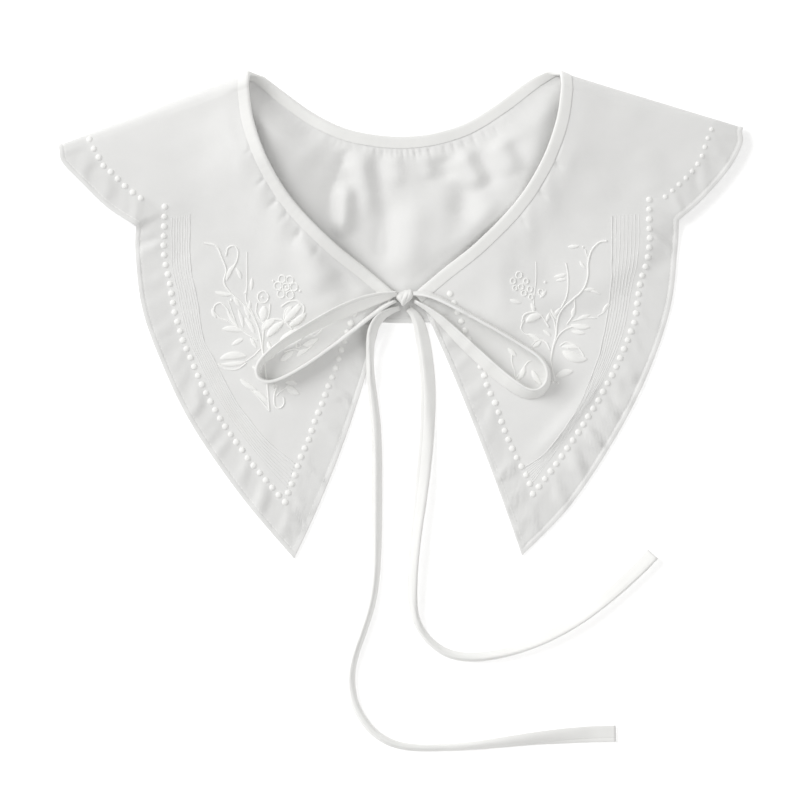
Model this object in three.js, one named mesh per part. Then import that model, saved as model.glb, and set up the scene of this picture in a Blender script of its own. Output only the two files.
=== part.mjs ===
// A detachable collar of white cotton, laid flat on a table with its shoulders folded:
// one ring of cloth with two long pointed lapels, a petal over each shoulder and a
// gathered back, a bound neck edge, and a ribbon tied in a bow at the front.
// Millimetres, +Z up. +Y runs from the lapel tips to the back of the neck.
import * as THREE from "three";

// Overall sizes. Drops are measured from the neck ends of the shoulder folds.
const COLLAR_SPAN = 411;
const NECK_WIDTH = 185;
const FRONT_NECK_DROP = 135;
const BACK_NECK_DROP = 38;
const NOTCH_DROP = 90;
const LAPEL_DROP = 291;
const BACK_DEPTH = 112;

// Cloth, binding and ribbon.
const CLOTH = 1;
const BINDING_WIDTH = 7.2;
const BINDING_WALL = 1;
const RIBBON_WIDTH = 10;
const RIBBON_THICKNESS = 1;
const SEAM_GAP = 0.3;
const SEAM = BINDING_WIDTH + SEAM_GAP; // from the neckline to the open cloth

// How the cloth lies.
const NECK_ROLL = 8; // radius of the shoulder fold at the neck
const WING_ROLL = 2.6; // and at the petal's tip
const LAYER_GAP = 1.6; // air between the back and a lapel that lies on it
const ROLL_RUN = 95; // how far from the fold a lapel is back down
const DRAPE_RUN = 18; // how far past the back's hem a lapel reaches the table
const SETTLE_RUN = 28; // how far from the binding the cloth is back down
const SQUARE_RUN = 32; // how far from a shoulder the cloth's ribs leave the neck squarely

// The bow.
const KNOT_WIDTH = 10;
const KNOT_LENGTH = 11;
const KNOT_HEIGHT = 8;
const LOOP_LENGTH = 90;

// Fineness of the faceted cloth.
const CROSS_STEPS = 11;
const ROLL_STEPS = 6;
const BACK_STEPS = 60;
const FRONT_STEPS = { innerEdge: 9, outerEdge: 13, petal: 6 };

const HALF_SPAN = COLLAR_SPAN / 2;
const HALF_NECK = NECK_WIDTH / 2;
const HEM_DROP = BACK_NECK_DROP + BACK_DEPTH;
const CLOTH_INSET = BINDING_WALL + SEAM_GAP;
const BINDING_THICKNESS = CLOTH + 2 * CLOTH_INSET;

// Outline tables. x is a share of half the span and y a share of the drop named in the
// heading, both measured outwards from the neck. The two sides lie a little differently.

// y as a share of NOTCH_DROP
const FRONT_PETAL = [
  { place: "tip", left: [1.013, 0.487], right: [0.987, 0.367] },
  { place: "shoulder", left: [1.0, 0.597], right: [0.984, 0.477] },
  { place: "side", left: [0.949, 0.72], right: [0.946, 0.64] },
  { place: "foot", left: [0.867, 0.9], right: [0.87, 0.84] },
  { place: "notch", left: [0.785, 1.02], right: [0.8, 0.98] },
];
const BACK_PETAL = [
  { place: "shoulder", left: [0.99, 0.607], right: [0.972, 0.5] },
  { place: "side", left: [0.931, 0.747], right: [0.931, 0.653] },
  { place: "foot", left: [0.853, 0.9], right: [0.853, 0.853] },
  { place: "notch", left: [0.745, 1.007], right: [0.75, 0.973] },
];
// y as a share of the way from NOTCH_DROP to LAPEL_DROP
const LAPEL_EDGE = [
  { place: "top", left: [0.788, 0.084], right: [0.797, 0.069] },
  { place: "shoulder", left: [0.771, 0.242], right: [0.777, 0.248] },
  { place: "belly", left: [0.721, 0.394], right: [0.715, 0.439] },
  { place: "flank", left: [0.628, 0.594], right: [0.622, 0.63] },
  { place: "foot", left: [0.482, 0.812], right: [0.485, 0.842] },
  { place: "tip", left: [0.324, 1.003], right: [0.342, 0.994] },
];
// y as a share of the way from NOTCH_DROP to the hem
const HEM_EDGE = [
  { place: "top", left: [0.724, 0.162], right: [0.73, 0.1] },
  { place: "side", left: [0.642, 0.404], right: [0.642, 0.384] },
  { place: "flank", left: [0.526, 0.626], right: [0.526, 0.626] },
  { place: "foot", left: [0.272, 0.909], right: [0.272, 0.909] },
];
// x as a share of half the neck, y of FRONT_NECK_DROP
const FRONT_NECK = [
  { place: "side", x: 0.976, y: 0.213 },
  { place: "throat", x: 0.882, y: 0.391 },
  { place: "turn", x: 0.72, y: 0.569 },
  { place: "slope", x: 0.47, y: 0.747 },
  { place: "foot", x: 0.236, y: 0.876 },
];
// x as a share of half the neck, y of BACK_NECK_DROP. The first row only says which way
// the neckline leaves the shoulder fold.
const BACK_NECK = [
  { place: "shoulder", x: 0.9, left: 0.06, right: -0.02 },
  { place: "side", x: 0.8, left: 0.27, right: 0.12 },
  { place: "slope", x: 0.6, left: 0.62, right: 0.48 },
  { place: "dip", x: 0.4, left: 0.86, right: 0.78 },
  { place: "nape", x: 0.2, left: 0.97, right: 0.94 },
];
// How far a lapel's inner edge bows outwards, as a share of its length
const INNER_EDGE_BOW = { left: -0.028, right: 0.012 };
// Where the inner edge starts below the knot, as shares of BINDING_WIDTH
const INNER_EDGE_TOP = { x: 2.0, y: 1.75 };
// The share of the front neckline at which the ribs to the tip and the notch start
const NECK_SHARE = { tip: 0.42, notch: 0.8 };

// Gathers at the bound neck edge. at is a share of the neckline, width and height are
// shares of the binding's width, reach is a share of the cloth's depth there.
const BACK_GATHERS = [
  { at: 0.17, width: 0.9, height: 0.2, reach: 0.5 },
  { at: 0.26, width: 0.7, height: 0.26, reach: 0.42 },
  { at: 0.33, width: 0.9, height: 0.3, reach: 0.62 },
  { at: 0.4, width: 0.6, height: 0.24, reach: 0.34 },
  { at: 0.46, width: 0.7, height: 0.28, reach: 0.5 },
  { at: 0.52, width: 0.8, height: 0.3, reach: 0.66 },
  { at: 0.59, width: 0.6, height: 0.22, reach: 0.36 },
  { at: 0.65, width: 0.8, height: 0.28, reach: 0.55 },
  { at: 0.72, width: 0.9, height: 0.3, reach: 0.68 },
  { at: 0.8, width: 0.8, height: 0.24, reach: 0.46 },
];
const FRONT_GATHERS = [
  { at: 0.52, width: 0.8, height: 0.12, reach: 0.16 },
  { at: 0.64, width: 0.8, height: 0.12, reach: 0.14 },
  { at: 0.76, width: 0.8, height: 0.1, reach: 0.14 },
];

// Ribbon tables. roll is 0 where the ribbon lies flat and 90 where it stands on edge,
// and width is a share of the ribbon's own. x and y run from the knot's centre: shares
// of LOOP_LENGTH in a loop, millimetres in a tail.
const LOOP_LEFT = [
  { x: -0.055, y: 0.03, roll: 56, width: 0.4 },
  { x: -0.15, y: 0.006, roll: 36, width: 0.75 },
  { x: -0.28, y: -0.034, roll: 30, width: 0.95 },
  { x: -0.41, y: -0.087, roll: 36, width: 1 },
  { x: -0.54, y: -0.149, roll: 46, width: 1 },
  { x: -0.67, y: -0.219, roll: 55, width: 1 },
  { x: -0.8, y: -0.296, roll: 62, width: 1 },
  { x: -0.9, y: -0.369, roll: 69, width: 1 },
  { x: -0.96, y: -0.427, roll: 76, width: 1 },
  { x: -0.982, y: -0.478, roll: 80, width: 1 },
  { x: -0.973, y: -0.527, roll: 84, width: 1 },
  { x: -0.933, y: -0.555, roll: 86, width: 1 },
  { x: -0.867, y: -0.55, roll: 88, width: 1 },
  { x: -0.767, y: -0.507, roll: 88, width: 1 },
  { x: -0.633, y: -0.427, roll: 88, width: 1 },
  { x: -0.5, y: -0.333, roll: 88, width: 0.95 },
  { x: -0.367, y: -0.233, roll: 84, width: 0.85 },
  { x: -0.25, y: -0.14, roll: 80, width: 0.7 },
  { x: -0.15, y: -0.066, roll: 74, width: 0.5 },
  { x: -0.06, y: -0.018, roll: 70, width: 0.3 },
];
const LOOP_RIGHT = [
  { x: 0.055, y: 0.03, roll: 66, width: 0.4 },
  { x: 0.14, y: 0.024, roll: 70, width: 0.7 },
  { x: 0.24, y: -0.012, roll: 78, width: 0.9 },
  { x: 0.367, y: -0.08, roll: 84, width: 1 },
  { x: 0.5, y: -0.153, roll: 86, width: 1 },
  { x: 0.633, y: -0.227, roll: 86, width: 1 },
  { x: 0.767, y: -0.307, roll: 86, width: 1 },
  { x: 0.88, y: -0.38, roll: 84, width: 1 },
  { x: 0.938, y: -0.45, roll: 82, width: 1 },
  { x: 0.955, y: -0.52, roll: 78, width: 1 },
  { x: 0.935, y: -0.59, roll: 70, width: 1 },
  { x: 0.88, y: -0.635, roll: 60, width: 1 },
  { x: 0.8, y: -0.63, roll: 50, width: 1 },
  { x: 0.7, y: -0.57, roll: 44, width: 1 },
  { x: 0.6, y: -0.49, roll: 42, width: 1 },
  { x: 0.487, y: -0.387, roll: 42, width: 0.95 },
  { x: 0.367, y: -0.273, roll: 42, width: 0.9 },
  { x: 0.247, y: -0.155, roll: 48, width: 0.75 },
  { x: 0.155, y: -0.078, roll: 56, width: 0.5 },
  { x: 0.06, y: -0.02, roll: 66, width: 0.3 },
];
const TAIL_LEFT = [
  { x: -3.2, y: -6, roll: 12, width: 0.3 },
  { x: -9.6, y: -8.2, roll: 10, width: 0.5 },
  { x: -15, y: -12, roll: -14, width: 0.7 },
  { x: -18.6, y: -17.5, roll: -40, width: 0.8 },
  { x: -20.4, y: -24, roll: -58, width: 0.9 },
  { x: -21, y: -34, roll: -64, width: 1 },
  { x: -20.7, y: -45, roll: -62, width: 1 },
  { x: -19.2, y: -60, roll: -57, width: 1 },
  { x: -17.7, y: -76, roll: -54, width: 1 },
  { x: -17, y: -94, roll: -53, width: 1 },
  { x: -17, y: -116, roll: -54, width: 1 },
  { x: -17, y: -140, roll: -55, width: 1 },
  { x: -17.4, y: -161, roll: -56, width: 1 },
  { x: -19, y: -177, roll: -57, width: 1 },
  { x: -22, y: -190, roll: -58, width: 1 },
  { x: -26, y: -202, roll: -60, width: 1 },
  { x: -29.8, y: -213, roll: -63, width: 1 },
  { x: -32, y: -223, roll: -65, width: 1 },
  { x: -32.3, y: -232, roll: -66, width: 1 },
  { x: -30.5, y: -242, roll: -66, width: 1 },
  { x: -26.4, y: -251, roll: -66, width: 1 },
  { x: -20.4, y: -259, roll: -66, width: 1 },
  { x: -12.6, y: -265, roll: -64, width: 1 },
  { x: -3.6, y: -268.5, roll: -61, width: 1 },
  { x: 8, y: -270, roll: -55, width: 1 },
  { x: 24, y: -269.8, roll: -46, width: 1 },
  { x: 42, y: -268.5, roll: -37, width: 1 },
  { x: 60, y: -266.4, roll: -30, width: 1 },
  { x: 78, y: -264.3, roll: -23, width: 1 },
  { x: 96, y: -262.8, roll: -15, width: 1 },
  { x: 112, y: -261.9, roll: -7, width: 1 },
  { x: 126.6, y: -261.6, roll: -2, width: 1 },
];
const TAIL_RIGHT = [
  { x: 2, y: -6.4, roll: 12, width: 0.36 },
  { x: 5.6, y: -10, roll: 14, width: 0.6 },
  { x: 8.4, y: -15.5, roll: 2, width: 0.8 },
  { x: 10.5, y: -24.6, roll: -20, width: 1 },
  { x: 12.6, y: -37.8, roll: -33, width: 1 },
  { x: 13.8, y: -51, roll: -38, width: 1 },
  { x: 13.8, y: -66.6, roll: -42, width: 1 },
  { x: 12.9, y: -84.6, roll: -43, width: 1 },
  { x: 11.1, y: -103.8, roll: -46, width: 1 },
  { x: 9, y: -121.8, roll: -50, width: 1 },
  { x: 6.6, y: -140, roll: -54, width: 1 },
  { x: 4.8, y: -158, roll: -59, width: 1 },
  { x: 4.2, y: -171, roll: -65, width: 1 },
  { x: 4.6, y: -183, roll: -75, width: 1 },
  { x: 6.6, y: -192.6, roll: -88, width: 1 },
  { x: 10.8, y: -201, roll: -101, width: 1 },
  { x: 16.8, y: -207.6, roll: -111, width: 1 },
  { x: 24.6, y: -212.7, roll: -116, width: 1 },
  { x: 33.6, y: -215.1, roll: -118, width: 1 },
  { x: 43.8, y: -215.4, roll: -120, width: 1 },
  { x: 55.2, y: -213.9, roll: -123, width: 1 },
  { x: 67.8, y: -210.6, roll: -127, width: 1 },
  { x: 81, y: -205.5, roll: -132, width: 1 },
  { x: 94.2, y: -198.9, roll: -136, width: 1 },
  { x: 106.8, y: -191.1, roll: -140, width: 1 },
  { x: 118.8, y: -181.8, roll: -144, width: 1 },
  { x: 130.2, y: -171.9, roll: -147, width: 1 },
  { x: 141, y: -161.7, roll: -149, width: 1 },
  { x: 148.8, y: -153.6, roll: -150, width: 1 },
];
// Lengths of ribbon between two sections
const LOOP_STEP = 4.5;
const TAIL_STEP = 6;

const clamp = THREE.MathUtils.clamp;
const lerp = THREE.MathUtils.lerp;
const smooth = (t) => THREE.MathUtils.smoothstep(t, 0, 1);
const DOWN = new THREE.Vector3(0, 0, -1);

// The collar's plan: points and curves seen from above

const SIDES = { left: -1, right: 1 };

// A table's rows as points on one side, with y running from one drop to another.
function outlinePoints(rows, side, from, to) {
  return rows.map((row) => {
    const [x, y] = row[side];
    return new THREE.Vector2(SIDES[side] * x * HALF_SPAN, -lerp(from, to, y));
  });
}

function backNeckPoints(side) {
  return BACK_NECK.map(
    (row) => new THREE.Vector2(SIDES[side] * row.x * HALF_NECK, -row[side] * BACK_NECK_DROP),
  );
}

// Everything about one shoulder fold: its line, and the ways in which its neck end opens.
function shoulderFold(side) {
  const sign = SIDES[side];
  const neck = new THREE.Vector2(sign * HALF_NECK, 0);
  const tip = outlinePoints(FRONT_PETAL.slice(0, 1), side, 0, NOTCH_DROP)[0];
  const along = tip.clone().sub(neck);
  const length = along.length();
  along.normalize();
  const inward = new THREE.Vector2(sign * along.y, -sign * along.x);
  const openings = {
    front: new THREE.Vector2(sign * 0.1, -1).normalize(),
    back: backNeckPoints(side)[0].sub(neck).normalize(),
  };
  const radius = (share) => lerp(NECK_ROLL, WING_ROLL, clamp(share, 0, 1));
  return { neck, tip, along, inward, length, openings, radius };
}

const FOLDS = { left: shoulderFold("left"), right: shoulderFold("right") };

// The plan of a point on the fold's roll. turn is -90 on the back and 90 on the front.
function rollPlan(fold, share, turn) {
  const opening = turn > 0 ? fold.openings.front : fold.openings.back;
  const spread = smooth(clamp(share * 2, 0, 1));
  const way = opening.clone().lerp(fold.inward, spread).normalize();
  const out = fold.radius(share) * (1 - Math.cos(THREE.MathUtils.degToRad(turn)));
  const start = fold.neck.clone().lerp(fold.tip, share);
  return start.addScaledVector(way, out);
}

// The curves round one lapel, each running from the knot towards the shoulder.
function lapelPlan(side) {
  const sign = SIDES[side];
  const fold = FOLDS[side];
  const petal = outlinePoints(FRONT_PETAL, side, 0, NOTCH_DROP);
  const edge = outlinePoints(LAPEL_EDGE, side, NOTCH_DROP, LAPEL_DROP);
  const notch = petal[petal.length - 1];
  const tip = edge[edge.length - 1];
  const neckEnd = new THREE.Vector2(sign * (KNOT_WIDTH / 2 + SEAM_GAP), KNOT_LENGTH / 4);
  neckEnd.y -= FRONT_NECK_DROP;
  const rows = FRONT_NECK.map(
    (row) => new THREE.Vector2(sign * row.x * HALF_NECK, -row.y * FRONT_NECK_DROP),
  );
  const neckTop = rollPlan(fold, 0, 90);
  const corner = new THREE.Vector2(
    sign * INNER_EDGE_TOP.x * BINDING_WIDTH,
    -FRONT_NECK_DROP - INNER_EDGE_TOP.y * BINDING_WIDTH,
  );
  const run = tip.clone().sub(corner);
  const outward = new THREE.Vector2(-sign * run.y, sign * run.x);
  const bow = corner.clone().lerp(tip, 0.5);
  bow.addScaledVector(outward, 2 * INNER_EDGE_BOW[side]);
  return {
    neckline: new THREE.SplineCurve([neckTop, ...rows, neckEnd].reverse()),
    innerEdge: new THREE.QuadraticBezierCurve(corner, bow, tip),
    outerEdge: new THREE.SplineCurve([notch, ...edge].reverse()),
    petal: new THREE.SplineCurve([rollPlan(fold, 1, 90), ...petal.slice(1)].reverse()),
  };
}

const LAPELS = { left: lapelPlan("left"), right: lapelPlan("right") };

// The back's edge from the left petal's tip, round the hem, to the right petal's tip.
function backEdgeCurves() {
  const half = (side) => {
    const petal = outlinePoints(BACK_PETAL, side, 0, NOTCH_DROP);
    const hem = outlinePoints(HEM_EDGE, side, NOTCH_DROP, HEM_DROP);
    return { petal: [rollPlan(FOLDS[side], 1, -90), ...petal], hem };
  };
  const left = half("left");
  const right = half("right");
  const middle = new THREE.Vector2(0, -HEM_DROP);
  const hem = [left.petal.at(-1), ...left.hem, middle, ...right.hem.reverse(), right.petal.at(-1)];
  return {
    leftPetal: new THREE.SplineCurve(left.petal),
    hem: new THREE.SplineCurve(hem),
    rightPetal: new THREE.SplineCurve(right.petal.reverse()),
  };
}

function backNeckline() {
  const left = [rollPlan(FOLDS.left, 0, -90), ...backNeckPoints("left").slice(1)];
  const right = [rollPlan(FOLDS.right, 0, -90), ...backNeckPoints("right").slice(1)];
  const nape = new THREE.Vector2(0, -BACK_NECK_DROP);
  return new THREE.SplineCurve([...left, nape, ...right.reverse()]);
}

const BACK_EDGE = backEdgeCurves();
const BACK_OUTLINE = [
  FOLDS.left.neck,
  FOLDS.left.tip,
  ...BACK_EDGE.leftPetal.getPoints(12),
  ...BACK_EDGE.hem.getPoints(48),
  ...BACK_EDGE.rightPetal.getPoints(12),
  FOLDS.right.tip,
  FOLDS.right.neck,
];

function isInside(outline, p) {
  let inside = false;
  outline.forEach((a, i) => {
    const b = outline[(i + 1) % outline.length];
    const crosses = a.y > p.y !== b.y > p.y;
    if (crosses && p.x < a.x + ((b.x - a.x) * (p.y - a.y)) / (b.y - a.y)) inside = !inside;
  });
  return inside;
}

function distanceToSegment(p, a, b) {
  const run = b.clone().sub(a);
  const share = clamp(p.clone().sub(a).dot(run) / Math.max(run.lengthSq(), 1e-9), 0, 1);
  return p.distanceTo(a.clone().addScaledVector(run, share));
}

// How the cloth's middle lies above the table

// 1 where a lapel lies on the back, falling to 0 where it has come down on the table.
function cover(p) {
  if (isInside(BACK_OUTLINE, p)) return 1;
  const distances = BACK_OUTLINE.map((a, i) =>
    distanceToSegment(p, a, BACK_OUTLINE[(i + 1) % BACK_OUTLINE.length]),
  );
  return smooth(1 - Math.min(...distances) / DRAPE_RUN);
}

// The height at a distance from the neckline: the binding lifts the cloth near it.
function seat(distance) {
  const lift = (BINDING_THICKNESS - CLOTH) / 2;
  const share = clamp((distance - BINDING_WIDTH) / SETTLE_RUN, 0, 1);
  return CLOTH / 2 + lift * (1 - smooth(share));
}

// How far a lapel stands above its rest height because of the roll at its shoulder.
function rollRise(side, p) {
  const fold = FOLDS[side];
  const from = p.clone().sub(fold.neck);
  const radius = fold.radius(from.dot(fold.along) / fold.length);
  const share = clamp((from.dot(fold.inward) - radius) / ROLL_RUN, 0, 1);
  return (2 * radius - CLOTH - LAYER_GAP) * (1 - smooth(share));
}

function lapelHeight(side, p, distance) {
  return seat(distance) + cover(p) * (CLOTH + LAYER_GAP) + rollRise(side, p);
}

// The height that a gather adds at a share of the neckline and of the cloth's depth.
function gatherHeight(rows, at, neckLength, distance, depth) {
  return rows.reduce((sum, row) => {
    const away = ((at - row.at) * neckLength) / (row.width * BINDING_WIDTH);
    const share = clamp((distance - SEAM) / (row.reach * depth), 0, 1);
    const swell = Math.sin(Math.PI * Math.sqrt(share));
    return sum + row.height * BINDING_WIDTH * Math.exp(-away * away) * swell;
  }, 0);
}

// The cloth as a ring of ribs from the neckline to the outer edge

// Distances from the neckline at which a rib has its points.
function ribDistances(length) {
  const distances = [CLOTH_INSET];
  for (let i = 0; i < CROSS_STEPS; i++) {
    const share = Math.pow(i / (CROSS_STEPS - 1), 1.2);
    distances.push(lerp(SEAM, length, share));
  }
  return distances;
}

// A rib on a lapel or on the back, with its height given by a function. Under the binding
// it is square to the neckline, except next to a shoulder, and then it runs straight.
// quarter is 1 or -1, for the way from the neckline's run to the cloth.
function flatRib({ neckline, at, quarter, fromShoulder, edge, height }) {
  const neck = neckline.getPointAt(at);
  const run = neckline.getTangentAt(at);
  const square = new THREE.Vector2(-run.y, run.x).multiplyScalar(quarter);
  const straight = edge.clone().sub(neck).normalize();
  const outward = straight.lerp(square, smooth(fromShoulder / SQUARE_RUN)).normalize();
  const seam = neck.clone().addScaledVector(outward, SEAM);
  const length = SEAM + seam.distanceTo(edge);
  return ribDistances(length).map((distance) => {
    const onward = (distance - SEAM) / (length - SEAM);
    const p = onward < 0 ? neck.clone() : seam.clone().lerp(edge, onward);
    if (onward < 0) p.addScaledVector(outward, distance);
    return new THREE.Vector3(p.x, p.y, height(p, distance, length));
  });
}

// A rib along the shoulder's roll, at a turn from -90 on the back to 90 on the front.
function rollRib(fold, turn) {
  return ribDistances(fold.length).map((distance) => {
    const share = distance / fold.length;
    const p = rollPlan(fold, share, turn);
    const rise = fold.radius(share) * (1 + Math.sin(THREE.MathUtils.degToRad(turn)));
    return new THREE.Vector3(p.x, p.y, seat(distance) + rise);
  });
}

// A lapel's ribs from the knot to the shoulder, without the one that the roll starts with.
function lapelRibs(side) {
  const { neckline, innerEdge, outerEdge, petal } = LAPELS[side];
  const quarter = -SIDES[side];
  const stretches = [
    { edge: innerEdge, from: 0, to: NECK_SHARE.tip, steps: FRONT_STEPS.innerEdge },
    { edge: outerEdge, from: NECK_SHARE.tip, to: NECK_SHARE.notch, steps: FRONT_STEPS.outerEdge },
    { edge: petal, from: NECK_SHARE.notch, to: 1, steps: FRONT_STEPS.petal },
  ];
  const neckLength = neckline.getLength();
  return stretches.flatMap(({ edge, from, to, steps }) =>
    Array.from({ length: steps }, (_, i) => {
      const at = lerp(from, to, i / steps);
      const height = (p, distance, length) => {
        const gather = gatherHeight(FRONT_GATHERS, at, neckLength, distance, length);
        return lapelHeight(side, p, distance) + gather;
      };
      const edgePoint = edge.getPointAt(i / steps);
      const fromShoulder = (1 - at) * neckLength;
      return flatRib({ neckline, at, quarter, fromShoulder, edge: edgePoint, height });
    }),
  );
}

function backRibs() {
  const neckline = backNeckline();
  const neckLength = neckline.getLength();
  const { leftPetal, hem, rightPetal } = BACK_EDGE;
  // The petals take this share of the neckline at each end.
  const petalShare = 0.16;
  const edgePoint = (at) => {
    if (at < petalShare) return leftPetal.getPointAt(at / petalShare);
    if (at > 1 - petalShare) return rightPetal.getPointAt((at - 1 + petalShare) / petalShare);
    return hem.getPointAt((at - petalShare) / (1 - 2 * petalShare));
  };
  return Array.from({ length: BACK_STEPS - 1 }, (_, i) => {
    const at = (i + 1) / BACK_STEPS;
    const fromShoulder = Math.min(at, 1 - at) * neckLength;
    const height = (p, distance, length) =>
      seat(distance) + gatherHeight(BACK_GATHERS, at, neckLength, distance, length);
    return flatRib({ neckline, at, quarter: -1, fromShoulder, edge: edgePoint(at), height });
  });
}

function rollRibs(side) {
  return Array.from({ length: ROLL_STEPS + 1 }, (_, i) =>
    rollRib(FOLDS[side], lerp(90, -90, i / ROLL_STEPS)),
  );
}

const RIBS = [
  ...lapelRibs("left"),
  ...rollRibs("left"),
  ...backRibs(),
  ...rollRibs("right").reverse(),
  ...lapelRibs("right").reverse(),
];

// The cloth's normal at each point of the ribs, on the side that shows on the lapels.
function ribNormals(ribs) {
  const between = (a, b) => b.clone().sub(a);
  return ribs.map((rib, i) => {
    const before = ribs[Math.max(i - 1, 0)];
    const after = ribs[Math.min(i + 1, ribs.length - 1)];
    return rib.map((_, j) => {
      const round = between(before[j], after[j]);
      const across = between(rib[Math.max(j - 1, 0)], rib[Math.min(j + 1, rib.length - 1)]);
      return round.cross(across).normalize();
    });
  });
}

const NORMALS = ribNormals(RIBS);

// Solids

// A closed body from two faces, each a grid of points with the same rows and columns.
function slab(front, back) {
  const rows = front.length;
  const columns = front[0].length;
  const positions = [...front.flat(), ...back.flat()].flatMap((p) => p.toArray());
  const face = (side, i, j) => side * rows * columns + i * columns + j;
  const indices = [];
  const quad = (a, b, c, d) => indices.push(a, b, c, a, c, d);
  for (let i = 0; i + 1 < rows; i++) {
    for (let j = 0; j + 1 < columns; j++) {
      quad(face(0, i, j), face(0, i + 1, j), face(0, i + 1, j + 1), face(0, i, j + 1));
      quad(face(1, i, j), face(1, i, j + 1), face(1, i + 1, j + 1), face(1, i + 1, j));
    }
    const last = columns - 1;
    quad(face(0, i, 0), face(1, i, 0), face(1, i + 1, 0), face(0, i + 1, 0));
    quad(face(0, i, last), face(0, i + 1, last), face(1, i + 1, last), face(1, i, last));
  }
  for (let j = 0; j + 1 < columns; j++) {
    const last = rows - 1;
    quad(face(0, 0, j), face(0, 0, j + 1), face(1, 0, j + 1), face(1, 0, j));
    quad(face(0, last, j), face(1, last, j), face(1, last, j + 1), face(0, last, j + 1));
  }
  const geometry = new THREE.BufferGeometry();
  geometry.setAttribute("position", new THREE.Float32BufferAttribute(positions, 3));
  geometry.setIndex(indices);
  geometry.computeVertexNormals();
  return geometry;
}

const offset = (p, normal, by) => p.clone().addScaledVector(normal, by);

function clothGeometry() {
  const face = (by) => RIBS.map((rib, i) => rib.map((p, j) => offset(p, NORMALS[i][j], by)));
  return slab(face(CLOTH / 2), face(-CLOTH / 2));
}

// The binding is a strip folded over the cloth's neck edge: its section is a U.
function bindingGeometry() {
  const inner = CLOTH / 2 + SEAM_GAP;
  const outer = inner + BINDING_WALL;
  const lipShare = (BINDING_WIDTH - CLOTH_INSET) / (SEAM - CLOTH_INSET);
  const section = (i, by, foldBy) => {
    const [start, next] = RIBS[i];
    const [normal, nextNormal] = NORMALS[i];
    const lip = start.clone().lerp(next, lipShare);
    const lipNormal = normal.clone().lerp(nextNormal, lipShare).normalize();
    const fold = offset(start, next.clone().sub(start).normalize(), -foldBy);
    return [
      offset(lip, lipNormal, by),
      offset(fold, normal, by),
      offset(fold, normal, -by),
      offset(lip, lipNormal, -by),
    ];
  };
  const outside = RIBS.map((_, i) => section(i, outer, CLOTH_INSET));
  const inside = RIBS.map((_, i) => section(i, inner, SEAM_GAP));
  return slab(inside, outside);
}

// The bow

const KNOT = new THREE.Vector3(0, -FRONT_NECK_DROP, seat(0) + CLOTH + LAYER_GAP);
KNOT.z += (KNOT_HEIGHT - BINDING_THICKNESS) / 4;

// The height of what lies under a point: the highest cloth or binding, or the table.
function heightUnder(p, pieces) {
  const down = new THREE.Raycaster(new THREE.Vector3(p.x, p.y, COLLAR_SPAN), DOWN);
  const [hit] = down.intersectObjects(pieces);
  return hit ? hit.point.z : 0;
}

// A ribbon laid along a table of points, on whatever pieces are under it. The roll puts
// one of its edges above the other.
function ribbonGeometry(rows, scale, step, pieces) {
  const plan = new THREE.SplineCurve(
    rows.map((row) => new THREE.Vector2(KNOT.x + row.x * scale, KNOT.y + row.y * scale)),
  );
  const styles = new THREE.SplineCurve(rows.map((row) => new THREE.Vector2(row.roll, row.width)));
  const steps = Math.round(plan.getLength() / step);
  const sections = Array.from({ length: steps + 1 }, (_, i) => {
    const t = plan.getUtoTmapping(i / steps);
    const style = styles.getPoint(t);
    const along = plan.getTangent(t);
    const roll = THREE.MathUtils.degToRad(style.x);
    return {
      place: plan.getPoint(t),
      side: new THREE.Vector2(along.y, -along.x),
      along: new THREE.Vector3(along.x, along.y, 0),
      flat: Math.cos(roll),
      upright: Math.sin(roll),
      half: (style.y * RIBBON_WIDTH) / 2,
    };
  });
  const shares = [-1, -0.5, 0, 0.5, 1];
  const rests = sections.map(({ place, side, along, flat, half }) => {
    const reach = Math.abs(flat) * half + RIBBON_THICKNESS;
    const heights = shares.flatMap((across) =>
      shares.map((onward) => {
        const p = place.clone().addScaledVector(side, across * reach);
        return heightUnder(p.addScaledVector(along, (onward * step) / 2), pieces);
      }),
    );
    return Math.max(...heights);
  });
  const front = [];
  const back = [];
  sections.forEach(({ place, side, along, flat, upright, half }, i) => {
    // The ribbon bridges a drop, so each section also clears what its neighbours lie on.
    const rest = Math.max(...rests.slice(Math.max(i - 1, 0), i + 2)) + SEAM_GAP;
    const centre = rest + Math.abs(upright) * half + (Math.abs(flat) * RIBBON_THICKNESS) / 2;
    const across = new THREE.Vector3(side.x * flat, side.y * flat, upright);
    const normal = along.clone().cross(across).normalize();
    const middle = new THREE.Vector3(place.x, place.y, centre);
    const edges = [offset(middle, across, -half), offset(middle, across, half)];
    front.push(edges.map((p) => offset(p, normal, RIBBON_THICKNESS / 2)));
    back.push(edges.map((p) => offset(p, normal, -RIBBON_THICKNESS / 2)));
  });
  return slab(front, back);
}

// The knot is a short wrapped barrel across the two ends of the neckline.
function knotGeometry() {
  const barrel = new THREE.SphereGeometry(0.5, 16, 10);
  barrel.rotateZ(Math.PI / 2);
  barrel.scale(KNOT_WIDTH, KNOT_LENGTH, KNOT_HEIGHT);
  return barrel;
}

// The assembly

const WHITE_COTTON = new THREE.MeshStandardMaterial({
  color: 0xf1f1ee,
  roughness: 0.9,
  metalness: 0,
  side: THREE.DoubleSide,
});
const IVORY_BIAS = new THREE.MeshStandardMaterial({
  color: 0xf5f6ee,
  roughness: 0.8,
  metalness: 0,
});

function piece(name, geometry, material) {
  const mesh = new THREE.Mesh(geometry, material);
  mesh.name = name;
  return mesh;
}

const knot = piece("bow_knot", knotGeometry(), IVORY_BIAS);
knot.position.copy(KNOT);
const cloth = piece("collar_cloth", clothGeometry(), WHITE_COTTON);
const binding = piece("neck_binding", bindingGeometry(), IVORY_BIAS);

function ribbon(name, rows, scale, step) {
  return piece(name, ribbonGeometry(rows, scale, step, [cloth, binding]), IVORY_BIAS);
}

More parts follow.
